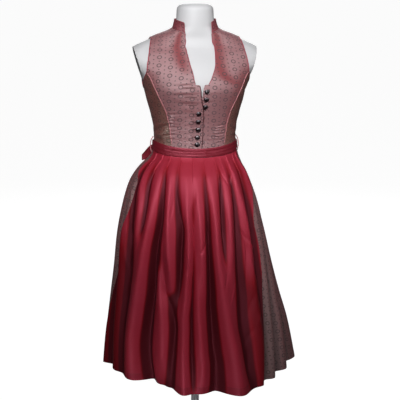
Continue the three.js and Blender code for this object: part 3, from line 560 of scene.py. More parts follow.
def mark(piece, name, values):
    """Keeps a value at each point of both faces of a cloth."""
    kept = piece.data.attributes.new(name, "FLOAT", "POINT")
    kept.data.foreach_set("value", np.resize(values.ravel(), len(piece.data.vertices)))


def declare(flat):
    """Works out the area of a piece's flat cut, and keeps nothing."""
    a, b, c, d = flat[:-1, :-1], flat[:-1, 1:], flat[1:, 1:], flat[1:, :-1]
    p, q = (c - a) * MM, (d - b) * MM
    area = float(np.abs(p[..., 0] * q[..., 1] - p[..., 1] * q[..., 0]).sum() / 2)


def node_group(name, inputs, outputs):
    """A node group whose outputs are numbers, and the wires that enter it."""
    group = bpy.data.node_groups.new(name, "ShaderNodeTree")
    for label, kind in inputs.items():
        group.interface.new_socket(name=label, in_out="INPUT", socket_type=kind)
    for label in outputs:
        group.interface.new_socket(name=label, in_out="OUTPUT", socket_type="NodeSocketFloat")
    return group, node(group, "NodeGroupInput", tuple(inputs))


def two_ways(cloth):
    """Across and up the flat cut."""
    return node(cloth.tree, "ShaderNodeSeparateXYZ", (0, 1), {0: cloth})


# The woven figure: rings in columns with a dot under each, and pairs of small
# dots between the columns. It is drawn on the cloth's flat cut, in metres.
COLUMN, PITCH, STEP = 0.034, 0.026, 0.38
ring_figure, (cloth,) = node_group("ring_figure", {"Cloth": "NodeSocketVector"}, ("Figure", "Eye"))


def lattice(pitch, step, start):
    """Millimetres from the middle of the nearest cell, both ways."""
    across, up = two_ways(cloth)
    x = across / COLUMN + start
    y = maths("MULTIPLY_ADD", maths("FLOOR", x), step, up / pitch)
    return [(maths("FRACT", part) - 0.5) * (size * 1000) for part, size in ((x, COLUMN), (y, pitch))]


def length_of(x, y, width, height):
    return maths("SQRT", maths("POWER", x / width, 2.0) + maths("POWER", y / height, 2.0))


def within(value, start, end):
    """1 below the start, 0 above the end, softly between."""
    step = node(value.tree, "ShaderNodeMapRange", 0, {"From Min": start, "From Max": end, "Value": value},
                interpolation_type="SMOOTHSTEP")
    return 1.0 - step


x, y = lattice(PITCH, STEP, 0.2)
scallop = maths("SINE", maths("ARCTAN2", y, x) * 9.0) * 0.05
away = length_of(x, y, 6.0, 5.0) + scallop
ring = within(abs(away - 1.0), 0.17, 0.36)
under_dot = within(length_of(x, PITCH * 500 - abs(y), 2.5, 2.1), 0.65, 1.15)
x, y = lattice(PITCH / 2, STEP * 2, 0.7)
side_dot = within(length_of(x, y, 2.5, 2.2), 0.65, 1.15)
figure = maths("MAXIMUM", maths("MAXIMUM", ring, under_dot), side_dot)
node(ring_figure, "NodeGroupOutput", (), {"Figure": figure, "Eye": within(away, 0.3, 0.6)})

# Crossing threads, for every woven cloth here: a height for the bump and a
# slow unevenness along the threads for the colour.
threads, (cloth, pitch) = node_group("threads", {"Cloth": "NodeSocketVector", "Pitch": "NodeSocketFloat"},
                                     ("Height", "Slub"))
warp, weft = [maths("SINE", way * (2 * math.pi / pitch)) for way in two_ways(cloth)]
streaks = node(threads, "ShaderNodeMapping", "Vector", {"Scale": (18, 420, 1), "Vector": cloth})
node(threads, "NodeGroupOutput", (), {"Height": warp * weft, "Slub": noise(streaks, 1)})


def new_cloth(name, pitch):
    """A material for a woven cloth, its flat cut, its threads' height and unevenness."""
    material, tree = new_material(name)
    cloth = node(tree, "ShaderNodeUVMap", "UV", uv_map="cloth")
    height, slub = node(tree, "ShaderNodeGroup", ("Height", "Slub"), {"Cloth": cloth, "Pitch": pitch},
                        node_tree=threads)
    return material, cloth, height, slub


def kept_value(tree, name):
    """A value kept at each point of the cloth."""
    return node(tree, "ShaderNodeAttribute", "Fac", attribute_name=name)


def gloss(material, index, tint, sheen, sheen_rough, sheen_tint):
    shade(material, {"IOR": index, "Specular IOR Level": 1.0, "Specular Tint": tint, "Sheen Weight": sheen,
                     "Sheen Roughness": sheen_rough, "Sheen Tint": sheen_tint})


def jacquard(name, ground, figure, index, rough, tint):
    """Shot jacquard: a red warp under a greyish weft whose gloss shows where the cloth faces the light, with
    painted shade mixed into its colour.
    """
    material, cloth, height, slub = new_cloth(name, 0.0009)
    drawn, eye = node(cloth.tree, "ShaderNodeGroup", ("Figure", "Eye"), {"Cloth": cloth},
                      node_tree=ring_figure)
    # kept values of painted shade: on the bodice, and in the hollows of the skirt's folds
    red, hollow = kept_value(cloth.tree, "painted_red_shade"), kept_value(cloth.tree, "hollow")
    plain = mixed(noise(cloth, 16, 3), ground, tuple(0.86 * c for c in ground[:3]) + (1,))
    plain = mixed(slub * 0.22, plain, figure)
    plain = mixed((noise(cloth, 380) * 4 - 2) * 0.35, plain, srgb("8E3A42"))
    # painted shade: a deeper red where the bodice turns from the light
    plain = mixed(red * 0.9, plain, srgb("741C23"))
    # painted shade: darker in the hollows of the skirt's folds
    colour = mixed(hollow * 0.6, mixed(drawn * 0.9, plain, figure), srgb("30181A"))
    dull = drawn * 0.3 + eye * -0.05 + slub * 0.08 + red * 0.5 + hollow * 0.3 + rough
    shade(material, {"Base Color": colour, "Roughness": dull, "Normal": bump(drawn * 1.6 + height, 0.00009)})
    gloss(material, index, tint, 0.12, 0.5, srgb("C08088"))
    return material


shot_jacquard = jacquard("shot_jacquard", srgb("8C5B5F"), srgb("3E262B"), 1.7, 0.5, srgb("FFF6F6"))
dark_jacquard = jacquard("dark_jacquard", srgb("70403A"), srgb("34201E"), 1.75, 0.4, srgb("F4F4E4"))
red_jacquard = jacquard("red_jacquard", srgb("7C323A"), srgb("441C24"), 1.5, 0.42, srgb("FCE4E6"))


def no_rise(turn):
    return 0 * turn


v_rows = np.unique(np.round(np.concatenate([
    np.linspace(0, 0.59, 62), np.linspace(0.595, 0.625, 7), np.linspace(0.63, 0.88, 30),
    np.linspace(0.885, 1, 30)]), 4))
side_rows = np.linspace(0, 1, 76)
GRAIN_LEAN = 0.13  # the front panels' grain leans outward below the shoulders


def cut_panel(name, panel, rows, columns, material, slot):
    place, surface = panel
    u, v = np.meshgrid(np.linspace(0, 1, columns), rows)
    tuck = 0.45 * np.exp(-np.minimum(u, 1 - u) * columns / 1.1)  # the edges turn in at the seams
    points = surface(u, v, CLOTH - tuck)
    turn, z = place(u, v)
    up = rise_length(turn, z)
    lean = GRAIN_LEAN * np.maximum(z - 1180, 0) * np.sign(turn) * (np.abs(turn) < 90)
    chart = np.stack([section_length(turn, z) + lean, up], -1)
    piece = cloth_piece(name, points, chart, CLOTH)
    # painted shade on the bodice: a deeper red beside the neckline and in a few areas
    mark(piece, "painted_red_shade", painted_red_shade(turn, z))
    finish(piece, material, slot, name.replace("panel_", "bodice_"))
    declare(chart)


cut_panel("panel_front_right", bodice_panel(front_princess, -1, over_edge, 1, 1, lap_rise),
          v_rows, 44, shot_jacquard, "jacquard")
cut_panel("panel_front_left", bodice_panel(under_edge, 1, front_princess, 1, 1, no_rise),
          v_rows, 44, shot_jacquard, "jacquard")
for name, side in (("right", -1), ("left", 1)):
    for part, near, far, top, rows, material, slot in (
        ("side_front", front_princess, side_seam, ARMHOLE, side_rows, dark_jacquard, "side_panels"),
        ("side_back", side_seam, back_princess, ARMHOLE, side_rows, dark_jacquard, "side_panels"),
        ("back", back_princess, centre_back, 1, v_rows, shot_jacquard, "jacquard"),
    ):
        first, second = (near, far) if side > 0 else (far, near)
        panel = bodice_panel(first, side, second, side, top, no_rise)
        cut_panel(f"panel_{part}_{name}", panel, rows, 34, material, slot)

# ------------------------------------------------------------------ edges, piping and buttonholes
# A narrow bias binding of plain red satin runs round the armholes and the
# neckline; pale pink piping is sewn into the princess seams.


def satin(name, light, deep, index, rough, tint, sheen):
    """A plain satin with a thread running along it."""
    material, cloth, height, slub = new_cloth(name, 0.0008)
    worn = slub * 0.4 + noise(cloth, 30, 3) * 0.6
    shade(material, {"Base Color": mixed(worn, light, deep), "Roughness": slub * 0.1 + rough,
                     "Normal": bump(height, 0.00006)})
    gloss(material, index, tint, sheen, 0.4, tint)
    return material


pink_piping = satin("pink_piping", srgb("C08084"), srgb("AC6A70"), 1.45, 0.5, srgb("FFD8D8"), 0.2)
red_binding = satin("red_binding", srgb("96404C"), srgb("80333F"), 1.45, 0.46, srgb("FFC8D0"), 0.1)
button_thread = satin("button_thread", srgb("48181E"), srgb("381418"), 1.6, 0.45, srgb("F0C8C8"), 0.1)


def along(points, count):
    """Evenly spaced points on a smooth line through some points."""
    points = np.asarray(points, float)
    lengths = np.concatenate([[0], np.cumsum(np.linalg.norm(np.diff(points, axis=0), axis=1))])
    at = np.linspace(0, lengths[-1], count)
    table = np.column_stack([lengths, points])
    return np.column_stack([read(table, at, k) for k in (1, 2, 3)])


OUTWARD = (bpy.ops.mesh.normals_make_consistent, {"inside": False})


def round_cord(name, line, width, height=None, sides=10, lift=None):
    """A closed cord on a line of points; its section may be wider than high."""
    height = height or width
    line = np.asarray(line, float)
    ahead = np.gradient(line, axis=0)
    ahead /= np.linalg.norm(ahead, axis=1, keepdims=True)
    away = line - np.array([0, 0, 1]) * line[:, 2:3] if lift is None else np.asarray(lift, float)
    across = np.cross(ahead, away)
    across /= np.linalg.norm(across, axis=1, keepdims=True)
    away = np.cross(across, ahead)
    turn = np.linspace(0, 2 * np.pi, sides, endpoint=False)
    ring = (line[:, None] + across[:, None] * (np.cos(turn) * width / 2)[None, :, None]
            + away[:, None] * (np.sin(turn) * height / 2)[None, :, None])
    corner = np.arange(len(line) * sides).reshape(-1, sides)
    following = np.roll(corner, -1, 1)
    faces = np.stack([corner[:-1], following[:-1], following[1:], corner[1:]], -1)
    faces = faces.reshape(-1, 4).tolist() + [corner[0][::-1].tolist(), corner[-1].tolist()]
    run = np.concatenate([[0], np.cumsum(np.linalg.norm(np.diff(line, axis=0), axis=1))])
    chart = np.stack(np.broadcast_arrays(np.arange(sides) * width * 0.3, run[:, None]), -1)
    piece = mesh_piece(name, ring, faces, chart)
    edited(piece, OUTWARD)
    smooth_by(60)
    return piece


def edge_line(table, side, start, end, out, count=60, shift=0.0):
    """Points along a seam or edge, on the cloth."""
    at = np.linspace(start, end, count)
    turn = side * read(table, at, 1) + shift
    return on_bodice(turn, read(table, at, 2), out)


PIPING_WIDTH = 2.3
for name, side in (("right", -1), ("left", 1)):
    for place, seam in (("front", front_princess), ("back", back_princess)):
        line = edge_line(seam, side, 0.06, ARMHOLE - 0.008, CLOTH + 0.75)
        cord = round_cord(f"seam_piping_{place}_{name}", line, PIPING_WIDTH)
        finish(cord, pink_piping, "piping", f"piping_{place}_{name}")
    # Round the armhole: up the front, over the shoulder, down the back, under the arm.
    front = edge_line(front_princess, side, ARMHOLE, 0.995, CLOTH * 0.6, 40, 0.25 * side)
    back = edge_line(back_princess, side, 0.995, ARMHOLE, CLOTH * 0.6, 40, -0.25 * side)
    under_turn = np.linspace(130, 51, 40)
    ends = [read(back_princess, ARMHOLE, 2), side_seam[-1, 2], read(front_princess, ARMHOLE, 2)]
    rise = np.interp(under_turn, [51, 92, 130], [ends[2], ends[1], ends[0]])
    under = lifted(body, side * under_turn, rise, BODICE_CLEAR + CLOTH * 0.6)
    loop = along(np.concatenate([front, back, under[1:-1], front[:1]]), 190)
    binding = round_cord(f"armhole_binding_{name}", loop, 3.4, 2.9)
    finish(binding, red_binding, "piping")

for name, table, rise in (("right", over_edge, lap_rise), ("left", under_edge, no_rise)):
    at = np.linspace(0.63, 0.919, 60)
    turn, z = read(table, at, 1), read(table, at, 2)
    line = on_bodice(turn, z, CLOTH * 0.5, rise(turn))
    finish(round_cord(f"neck_binding_{name}", line, 2.4), red_binding, "piping")

at = np.linspace(0.03, 0.59, 70)
turn, z = read(over_edge, at, 1) - 0.25, read(over_edge, at, 2)
line = lifted(body, turn, z, BODICE_CLEAR + CLOTH + lap_rise(turn) - 0.3)
front_edge = round_cord("front_edge_stitching", line, 2.4, 1.3, 6)
finish(front_edge, button_thread, "jacquard")

# Buttonholes are worked across the wearer's right front: a slot between two
# ridges of close stitches. Three are open, five are under the buttons.
buttonholes = [(-15.5, -3.4, 1168), (-14.5, -2.6, 1142), (-11.5, -2.4, 1117), (-7.5, 1.6, 1090),
               (-7.6, 1.4, 1065), (-7.6, 1.4, 1040), (-8.4, 0.6, 1016), (-8.6, 0.6, 993)]
worked = []
for number, (start, end, height) in enumerate(buttonholes):
    for side in (-1, 1):
        turn = np.linspace(start, end, 22)
        z = height + side * 1.15 * np.sin(np.linspace(0.25, np.pi - 0.25, 22)) ** 0.4
        line = on_bodice(turn, z, CLOTH + 0.25, lap_rise(turn))
        worked.append(round_cord(f"buttonhole_{number}_{side}", line, 1.7, 1.1, 6))
only(worked[0])
for part in worked:
    part.select_set(True)
bpy.ops.object.join()
buttonhole_stitches = bpy.context.object
buttonhole_stitches.name = "buttonhole_stitches"
finish(buttonhole_stitches, button_thread, "jacquard")

# ------------------------------------------------------------------ collar
# A low stand-up collar of the same jacquard in two layers, open in front,
# sewn to the neckline and turned along its top edge.

COLLAR_TOP = 1365
COLLAR_TOP_DROP = 15
COLLAR_LENGTH, COLLAR_WIDTH = 356.4, 28  # as cut flat
LEFT_END, RIGHT_END = (27.3, 45), (337.7, 322.5)  # turns of its ends at the seam and at the top


def yoke_top(turn):
    """Height of the seam between the bodice and the collar."""
    at = np.linspace(0.92, 1, 60)
    right = np.interp(-signed(turn), -read(over_edge, at, 1), read(over_edge, at, 2))
    left = np.interp(signed(turn), read(under_edge, at, 1), read(under_edge, at, 2))
    around = signed(turn)
    return np.where(np.abs(around) >= 90, 1337.0, np.where(around < 0, right, left))


def collar_surface(u, v):
    low = mix(LEFT_END[0], RIGHT_END[0], u)
    high = mix(LEFT_END[1], RIGHT_END[1], u)
    seam = lifted(body, low, yoke_top(low) + 0.3, BODICE_CLEAR + CLOTH - 0.2)
    top_z = COLLAR_TOP - COLLAR_TOP_DROP * np.maximum(0, np.cos(np.radians(high))) ** 2
    top = oval(high, top_z, 62 + CLOTH, 57 + CLOTH, 62 + CLOTH, -12, 2)
    bow = 1.2 * np.sin(np.pi * v) * (1 + 0.5 * np.sin(np.radians(high * 5 + 30)))
    towards = (seam - top) * (1, 1, 0)
    towards /= np.linalg.norm(towards, axis=-1, keepdims=True) + 1e-9
    return mix(seam, top, v[..., None]) - towards * bow[..., None]


u, v = np.meshgrid(np.linspace(0, 1, 150), np.linspace(0, 1, 16))
points = collar_surface(u, v)
chart = np.stack([u * COLLAR_LENGTH, v * COLLAR_WIDTH], -1)
collar = cloth_piece("stand_collar", points, chart, CLOTH)
finish(collar, red_jacquard, "collar", "collar")
declare(chart)
rim = along(np.concatenate([
    collar_surface(np.ones(8), np.linspace(0.02, 0.98, 8)),
    collar_surface(np.linspace(1, 0, 90), np.ones(90))[1:-1],
    collar_surface(np.zeros(8), np.linspace(0.98, 0.02, 8)),
]), 150)
collar_edge = round_cord("collar_edge", rim, 2.2, 2.2, 8)
finish(collar_edge, red_binding, "collar")

# ------------------------------------------------------------------ buttons
# Eight domed buttons of cast metal with a dark patina, each with a beaded rim
# and a small raised rosette, sewn on by a shank.

BUTTON_RADIUS = 7.6
BUTTON_HEIGHT = 4.6
# height, turn, on the upper front, seat
buttons = [
    (1156, 5.4, False, -0.4), (1133, 5.2, False, -0.1), (1111, 4.8, True, 0.1),
    (1090, -0.7, True, 0.4), (1065, -1, True, 0.5), (1040, -0.9, True, 0.5),
    (1016, -1.7, True, 0.5), (993, -1.8, True, 0.5),
]

dark_pewter, tree = new_material("dark_pewter")
patina = noise(object_place(tree), 260, 4, 0.65)
scratch = noise(object_place(tree, (1, 1, 6)), 420, 3, 0.6)
shade(dark_pewter, {"Base Color": mixed(patina, srgb("3A3436"), srgb("6E666A")),
                    "Roughness": spread(patina, 0.2, 0.42), "Normal": bump(scratch, 0.0001), "Metallic": 1.0})

bpy.ops.object.select_all(action="DESELECT")
bpy.ops.mesh.primitive_circle_add(vertices=40, radius=BUTTON_RADIUS * 0.8 * MM, fill_type="NGON")
pattern = bpy.context.object
pattern.name = "button_pattern"
bpy.ops.object.mode_set(mode="EDIT")
bpy.ops.mesh.select_all(action="SELECT")
# Each step: how far up, and the radius there as a share of the whole.
profile = [(0.25, 1.0), (0.42, 1.0), (0.52, 0.95), (0.55, 0.88), (0.52, 0.84), (0.62, 0.78),
           (0.74, 0.66), (0.85, 0.5), (0.9, 0.36), (0.98, 0.34), (1.0, 0.28), (0.96, 0.2), (0.97, 0.1)]
height, radius = 0.0, 0.8
for up, wide in profile:
    step = (0, 0, (up - height) * BUTTON_HEIGHT * MM)
    bpy.ops.mesh.extrude_region_move(TRANSFORM_OT_translate={"value": step})
    bpy.ops.transform.resize(value=(wide / radius, wide / radius, 1))
    height, radius = up, wide
bpy.ops.object.mode_set(mode="OBJECT")
edited(pattern, OUTWARD)
for corner in pattern.data.vertices:  # the rosette's eight petals and the rim's beads
    r = math.hypot(corner.co.x, corner.co.y) / (BUTTON_RADIUS * MM)
    around = math.atan2(corner.co.y, corner.co.x)
    if 0.3 < r < 0.7:
        corner.co.z += 0.00022 * math.cos(8 * around)
    elif r > 0.93:
        corner.co.z += 0.00014 * math.cos(20 * around)
smooth_by(45)
for number, (z, turn, over, seat) in enumerate(buttons, 1):
    under = float(lap_rise(turn)) if over else 0.0
    turns, heights = np.array([float(turn)]), np.array([float(z)])
    middle = lifted(body, turns, heights, BODICE_CLEAR + CLOTH + under + seat)[0] * MM
    facing = Vector(outward(body, turns, heights)[0])
    button = placed(f"dome_button_{number}", pattern.data.copy())
    spin = Matrix.Rotation(math.radians(13 * number), 4, "Z")
    tilt = facing.to_track_quat("Z", "Y").to_matrix().to_4x4()
    button.data.transform(Matrix.Translation(middle) @ tilt @ spin)
    finish(button, dark_pewter, "pewter", f"button_{number}")
bpy.data.objects.remove(pattern)

# ------------------------------------------------------------------ skirt
# Three flared panels of the jacquard, gathered into the waist seam and hung
# over the form's hips. The front one shows on both sides of the apron.

HEM = 267
SIDE_SEAM = 97
BAND_HEIGHT = 28
BAND_SIDE_EXTRA = 6
GAP = 0.3

# height, half width at the wearer's right and left, depth in front and behind, power
skirt_sections = np.array([
    (267, 290, 318, 278, 284, 2), (400, 280, 292, 256, 266, 2), (500, 267, 264, 240, 250, 2),
    (600, 253, 240, 224, 234, 2), (700, 241, 219, 206, 215, 2), (800, 220, 194, 182, 190, 2.05),
    (863, 200, 172, 160, 167, 2.1), (900, 178, 157, 142, 148, 2.15), (925, 158, 144, 123, 126, 2.2),
    (945, 138, 135, 106, 106, 2.2), (957, 132, 132, 100, 98.5, 2.2), (985, 130, 130, 98.6, 96.4, 2.2),
], float)

# Each fold from the hem up: height, turn, how far it stands out (in, if negative), spread.
hanging_folds = [
    # the wearer's right side and the apron's right half
    [(267, -84, 10, 6), (600, -86, 10, 6), (900, -95, 8, 6)],
    [(267, -75, -16, 5), (600, -77, -12, 5), (900, -86, -6, 5)],
    [(267, -65, 6, 5.5), (600, -67, 13, 5.5), (800, -72, 10, 5), (900, -77, 8, 5.5)],
    [(267, -58, -10, 4.4), (450, -59, -14, 4.2), (600, -59, -12, 4), (900, -67, -7, 4)],
    [(590, -49, 0, 4), (680, -50, 5, 4), (738, -52, 10, 3.6), (800, -53, 13, 3.6), (860, -57, 11, 4),
     (945, -66, 4, 4)],
    [(700, -47, 0, 3), (786, -47, -9, 2.4), (859, -48, -12, 2.4), (909, -51, -8, 2.8), (942, -56, -3, 3)],
    [(267, -50.5, 8, 6.5), (324, -50, 16, 6.5), (434, -48.5, 24, 6.5), (558, -46, 24, 6),
     (682, -43, 20, 5.4),
     (788, -40.5, 16, 4.6), (863, -40, 12, 4.4), (944, -43, 5, 4.6)],
    [(267, -39, -60, 6), (380, -40.5, -48, 5.4), (503, -38.5, -42, 4.4), (564, -37, -38, 4),
     (685, -36, -28, 3.2),
     (791, -32.5, -22, 2.8), (864, -32, -15, 2.8), (913, -35, -7, 3)],
    [(560, -22, 0, 3), (586, -22.5, 8, 3), (630, -23, 15, 3.2), (689, -24.5, 18, 3.4), (793, -26, 15, 3.4),
     (865, -27, 11, 3.4), (946, -30, 4, 4)],
    [(267, -29, -34, 5.4), (306, -28, -14, 5.4), (390, -27, 12, 5.2), (509, -28.5, 15, 4.4),
     (568, -31, 12, 3.4),
     (627, -33, 7, 3), (687, -34, 0, 3)],
    [(267, -22, -26, 4.6), (348, -21, -18, 3.6), (453, -19.5, -19, 3), (512, -22, -14, 2.8),
     (569, -27, -12, 2.4),
     (628, -28.5, -7, 2.4), (688, -30, 0, 2.4)],
    [(500, -18, 0, 3), (572, -17, -16, 3), (640, -16.5, -20, 3), (691, -16, -20, 3), (750, -15, -17, 2.8),
     (794, -17.5, -13, 2.6), (865, -21, -9, 2.6), (920, -22, -4, 2.6)],
    [(267, -14, 20, 5), (299, -14, 19, 4.6), (454, -14, 17, 3.6), (572, -13, 16, 3.2), (691, -11, 16, 3),
     (794, -11.5, 14, 3), (866, -12, 9, 3.6), (910, -13, 5, 4)],
    # the middle and the apron's left half
    [(267, -9, -6, 2.4), (291, -9, -9, 2), (450, -9, -13, 1.7), (572, -8.5, -12, 1.5), (691, -7.5, -9, 1.3),
     (794, -7.5, -7, 1.2), (860, -6, -3, 1.2), (900, -6, 0, 1.2)],
    [(520, 0, 0, 3), (586, -1, 10, 3), (691, -2, 14, 3.2), (794, -2.5, 12, 3.2), (866, -3.5, 8, 3.6),
     (945, -3, 3, 4)],
    [(267, -2, 6, 5), (299, -2, 14, 4.4), (395, -3, 20, 3.8), (513, -4.5, 15, 3.4), (632, -5.5, 3, 3),
     (680, -6, 0, 3)],
    [(267, 5, -28, 5), (347, 6, -34, 4.4), (393, 5, -34, 4), (571, 4, -26, 3.2), (690, 4, -20, 2.6),
     (793, 4, -14, 2.6),
     (865, 3, -9, 2.6), (915, 2.5, -4, 2.6)],
    [(267, 16, 46, 7.5), (387, 15, 34, 7), (448, 13.5, 28, 6.4), (569, 11, 22, 5.6), (689, 9, 19, 4.8),
     (792, 9, 16, 4.4), (865, 9, 12, 4.6), (914, 9, 6, 4.6)],
    [(620, 15, 0, 3), (687, 15, -6, 2.6), (746, 15.8, -13, 2.4), (790, 16.5, -16, 2.4),
     (862, 18, -12, 2.6), (912, 20, -5, 2.6)],
    [(560, 19, 0, 3.4), (639, 19.5, 8, 3.4), (685, 20.5, 12, 3.2), (788, 22.5, 12, 3.2),
     (860, 25, 10, 3.4), (911, 25.5, 5, 3.6)],
    [(267, 26, -4, 5), (336, 24, -14, 5), (441, 24.5, -18, 4.8), (499, 26, -20, 4.2), (559, 27, -20, 3.8),
     (620, 27, -16, 3.2), (700, 28, -12, 3), (780, 30, -12, 3), (857, 31.5, -11, 3), (910, 31, -6, 3)],
    [(267, 32, 14, 6), (429, 35, 15, 6), (549, 36, 15, 5.4), (673, 37.5, 14, 4.8), (780, 38, 13, 4.2),
     (857, 38, 10, 4), (910, 38, 6, 4)],
    [(480, 33, 0, 2), (560, 31.5, -5, 1.6), (640, 33.5, -6, 1.5), (690, 35, -7, 1.4), (740, 33, -4, 1.4),
     (780, 31, 0, 1.4)],
    [(267, 37, -12, 4), (450, 42, -14, 4), (600, 45.5, -16, 4.2), (780, 47, -13, 3.6),
     (900, 48.5, -8, 3.6)],
    # the skirt beside the apron, and the wearer's left side
    [(267, 42, 16, 4), (356, 45, 15, 4), (416, 47, 14, 3.8), (536, 53, 13, 4), (658, 57, 13, 4),
     (769, 58, 12, 4.4), (900, 61, 8, 5)],
    [(267, 48, -14, 3.4), (356, 51, -13, 3.4), (450, 55, -12, 3.4), (600, 62, -12, 4),
     (760, 66, -10, 4.4), (900, 72, -7, 4.6)],
    [(267, 56, 12, 5), (420, 61, 12, 5), (600, 71, 10, 5), (760, 76, 7, 5)],
    [(267, 66, -16, 4.8), (600, 78, -12, 4.8), (900, 86, -4, 4.8)],
    [(267, 80, 14, 6.5), (600, 88, 10, 6), (900, 92, 5, 6)],
    # the back
    [(267, 94, -20, 5), (600, 98, -14, 5), (900, 99, -8, 4.6)],
    [(267, 109, 20, 6), (430, 108, 20, 5.6), (600, 107, 16, 5), (900, 106, 8, 4.6)],
    [(267, 121, -30, 4.6), (450, 119, -27, 4.4), (600, 118, -18, 4), (900, 117, -8, 3.6)],
    [(267, 133, 22, 5.5), (600, 130, 18, 5), (760, 129, 13, 4.4), (900, 127, 9, 3.8)],
    [(520, 126, 0, 2.6), (640, 124, -6, 2), (760, 123, -8, 1.8), (880, 121, -5, 2)],
    [(267, 144, -24, 4.4), (600, 140, -15, 4), (900, 138, -8, 3.4)],
    [(267, 155, 26, 5.8), (450, 153, 26, 5.2), (600, 151, 19, 4.6), (900, 148, 9, 3.8)],
    [(267, 167, -36, 4.6), (430, 165, -34, 4.2), (600, 163, -22, 3.8), (900, 159, -9, 3.2)],
    [(267, 177, 20, 5), (600, 173, 15, 4.4), (900, 170, 9, 3.6)],
    [(330, 171, 0, 2.4), (450, 169, 8, 2.2), (600, 168, 6, 2), (700, 167, 0, 2)],
    [(267, 187, -26, 4.4), (600, 183, -17, 4), (900, 181, -8, 3.2)],
    [(267, 198, 28, 6), (500, 196, 24, 5.2), (600, 195, 20, 4.8), (900, 192, 9, 3.8)],
    [(267, 210, -34, 4.6), (600, 206, -20, 4), (900, 203, -8, 3.2)],
    [(267, 221, 20, 5.2), (600, 217, 16, 4.6), (900, 214, 9, 3.6)],
    [(600, 212, 0, 2), (700, 211, -7, 1.8), (800, 210, -8, 1.8), (890, 209, -5, 2)],
    [(267, 231, -26, 4.4), (600, 229, -16, 4), (900, 226, -8, 3.4)],
    [(267, 244, 24, 6), (600, 241, 18, 5.2), (900, 238, 9, 4)],
    [(267, 260, -22, 5), (600, 257, -16, 5), (900, 252, -8, 4)],
]
hanging_folds = [np.array(rows, float) for rows in hanging_folds]
ROUNDNESS = 0.13

# Small gathers under the waist seam and the band: turn, rise, spread, length.
gathers = [
    (-93, 3, 1.6, 60), (-88, -3, 1.3, 50), (-83, 2.6, 1.2, 70), (-72, -2.6, 1.2, 46), (-69, 2.6, 1.3, 60),
    (58, 2.4, 1.2, 42), (65, -2.6, 1.2, 55), (70, 2.8, 1.3, 64), (77, -2.8, 1.2, 52), (82, 3, 1.3, 70),
    (88, -3, 1.2, 58), (93, 2.6, 1.3, 48), (101, -2.8, 1.2, 60), (104, 2.6, 1.2, 46), (111, -2.6, 1.2, 66),
    (114.5, 2.8, 1.3, 54), (123, 2.6, 1.2, 72), (131.5, -2.8, 1.2, 50), (135, 2.4, 1.1, 44),
    (142, 2.6, 1.2, 66),
    (145, -2.4, 1.1, 48), (153, -2.8, 1.2, 58), (156, 2.6, 1.2, 50), (164, 2.8, 1.3, 70),
    (167, -2.4, 1.1, 44),
    (174.5, -2.6, 1.2, 56), (178, 2.4, 1.1, 48), (185.5, 2.8, 1.2, 68), (189, -2.6, 1.2, 52),
    (196.5, -2.4, 1.1, 46),
    (199.5, 2.6, 1.2, 60), (207.5, 2.8, 1.3, 72), (211, -2.6, 1.1, 50), (219, -2.8, 1.2, 58),
    (222, 2.4, 1.1, 44),
    (230.5, 2.6, 1.2, 64), (234, -2.6, 1.2, 48), (243, -2.8, 1.2, 56), (247, 2.8, 1.3, 70),
    (257, 2.4, 1.2, 52),
    (261, -2.6, 1.1, 46),
]


def ridge(away, reach):
    """A fold with nearly straight sides and a rounded top, as a crisp cloth hangs."""
    return np.exp(ROUNDNESS ** 0.75 - ((away / reach) ** 2 + ROUNDNESS) ** 0.75)


def band_low(turn):
    """Height of the apron band's lower edge in front."""
    return waist_height(turn) - BAND_HEIGHT / 2


def fold_rise(turn, z):
    """How far the hanging folds move the skirt outward."""
    total = sum(read(fold, z, 2) * ridge(signed(turn - read(fold, z, 1)), read(fold, z, 3))
                for fold in hanging_folds)
    gentle = 1 - 0.5 * smooth(740, 880, z) * smooth(70, 50, np.abs(signed(turn)))
    return total * gentle * smooth(band_low(turn), 890, z)


def painted_fold_shade(turn, z):
    """Painted shade: 0 on the crests of the folds, 1 deep in the hollows, and more on the apron's low
    corners, which turn from the light.
    """
    beside = (fold_rise(turn - 7, z) + fold_rise(turn + 7, z)) / 2
    aside = smooth(-51, -57, signed(turn)) * smooth(780, 600, z) * smooth(-110, -80, signed(turn))
    aside += smooth(27, 33, signed(turn)) * smooth(660, 520, z) * smooth(60, 44, signed(turn))
    return np.clip(smooth(-1.5, 9, beside - fold_rise(turn, z)) + 0.6 * aside, 0, 1)


def gather_rise(turn, z):
    drop = band_low(turn) - z
    return sum(rise * bell(signed(turn - middle), wide) * smooth(-2, 12, drop)
               * (1 - smooth(0.25 * length, length, drop)) for middle, rise, wide, length in gathers)


def skirt(turn, z, stand_off=0.0):
    rise = fold_rise(turn, z) + stand_off
    at = [read(skirt_sections, z, k) for k in range(1, 6)]
    width = np.where(signed(turn) < 0, at[0], at[1])
    return oval(turn, z, width + rise, at[2] + rise, at[3] + rise, 0, at[4])


def gathered_skirt(turn, z):
    return skirt(turn, z, gather_rise(turn, z))


def band_half(turn):
    return (BAND_HEIGHT + BAND_SIDE_EXTRA * np.sin(np.radians(turn)) ** 2) / 2


# The hem hangs unevenly: turn, how much higher than the cut.
hem_lift = np.array([
    (-100, 10), (-84, 18), (-72, 26), (-60, 24), (-48, 15), (-38, 12), (-27, 3), (10, 0), (40, 3),
    (50, 9), (62, 11), (80, 6), (110, 3), (150, 6), (200, 2), (230, 7), (263, 8),
], float)


def hem_height(turn):
    return HEM + np.interp(turn, hem_lift[:, 0], hem_lift[:, 1])


def row_height(turn, v, low):
    """Height of a row of cloth between its hem and the underside of the band."""
    return mix(low, waist_height(turn) - band_half(turn) - GAP, v)


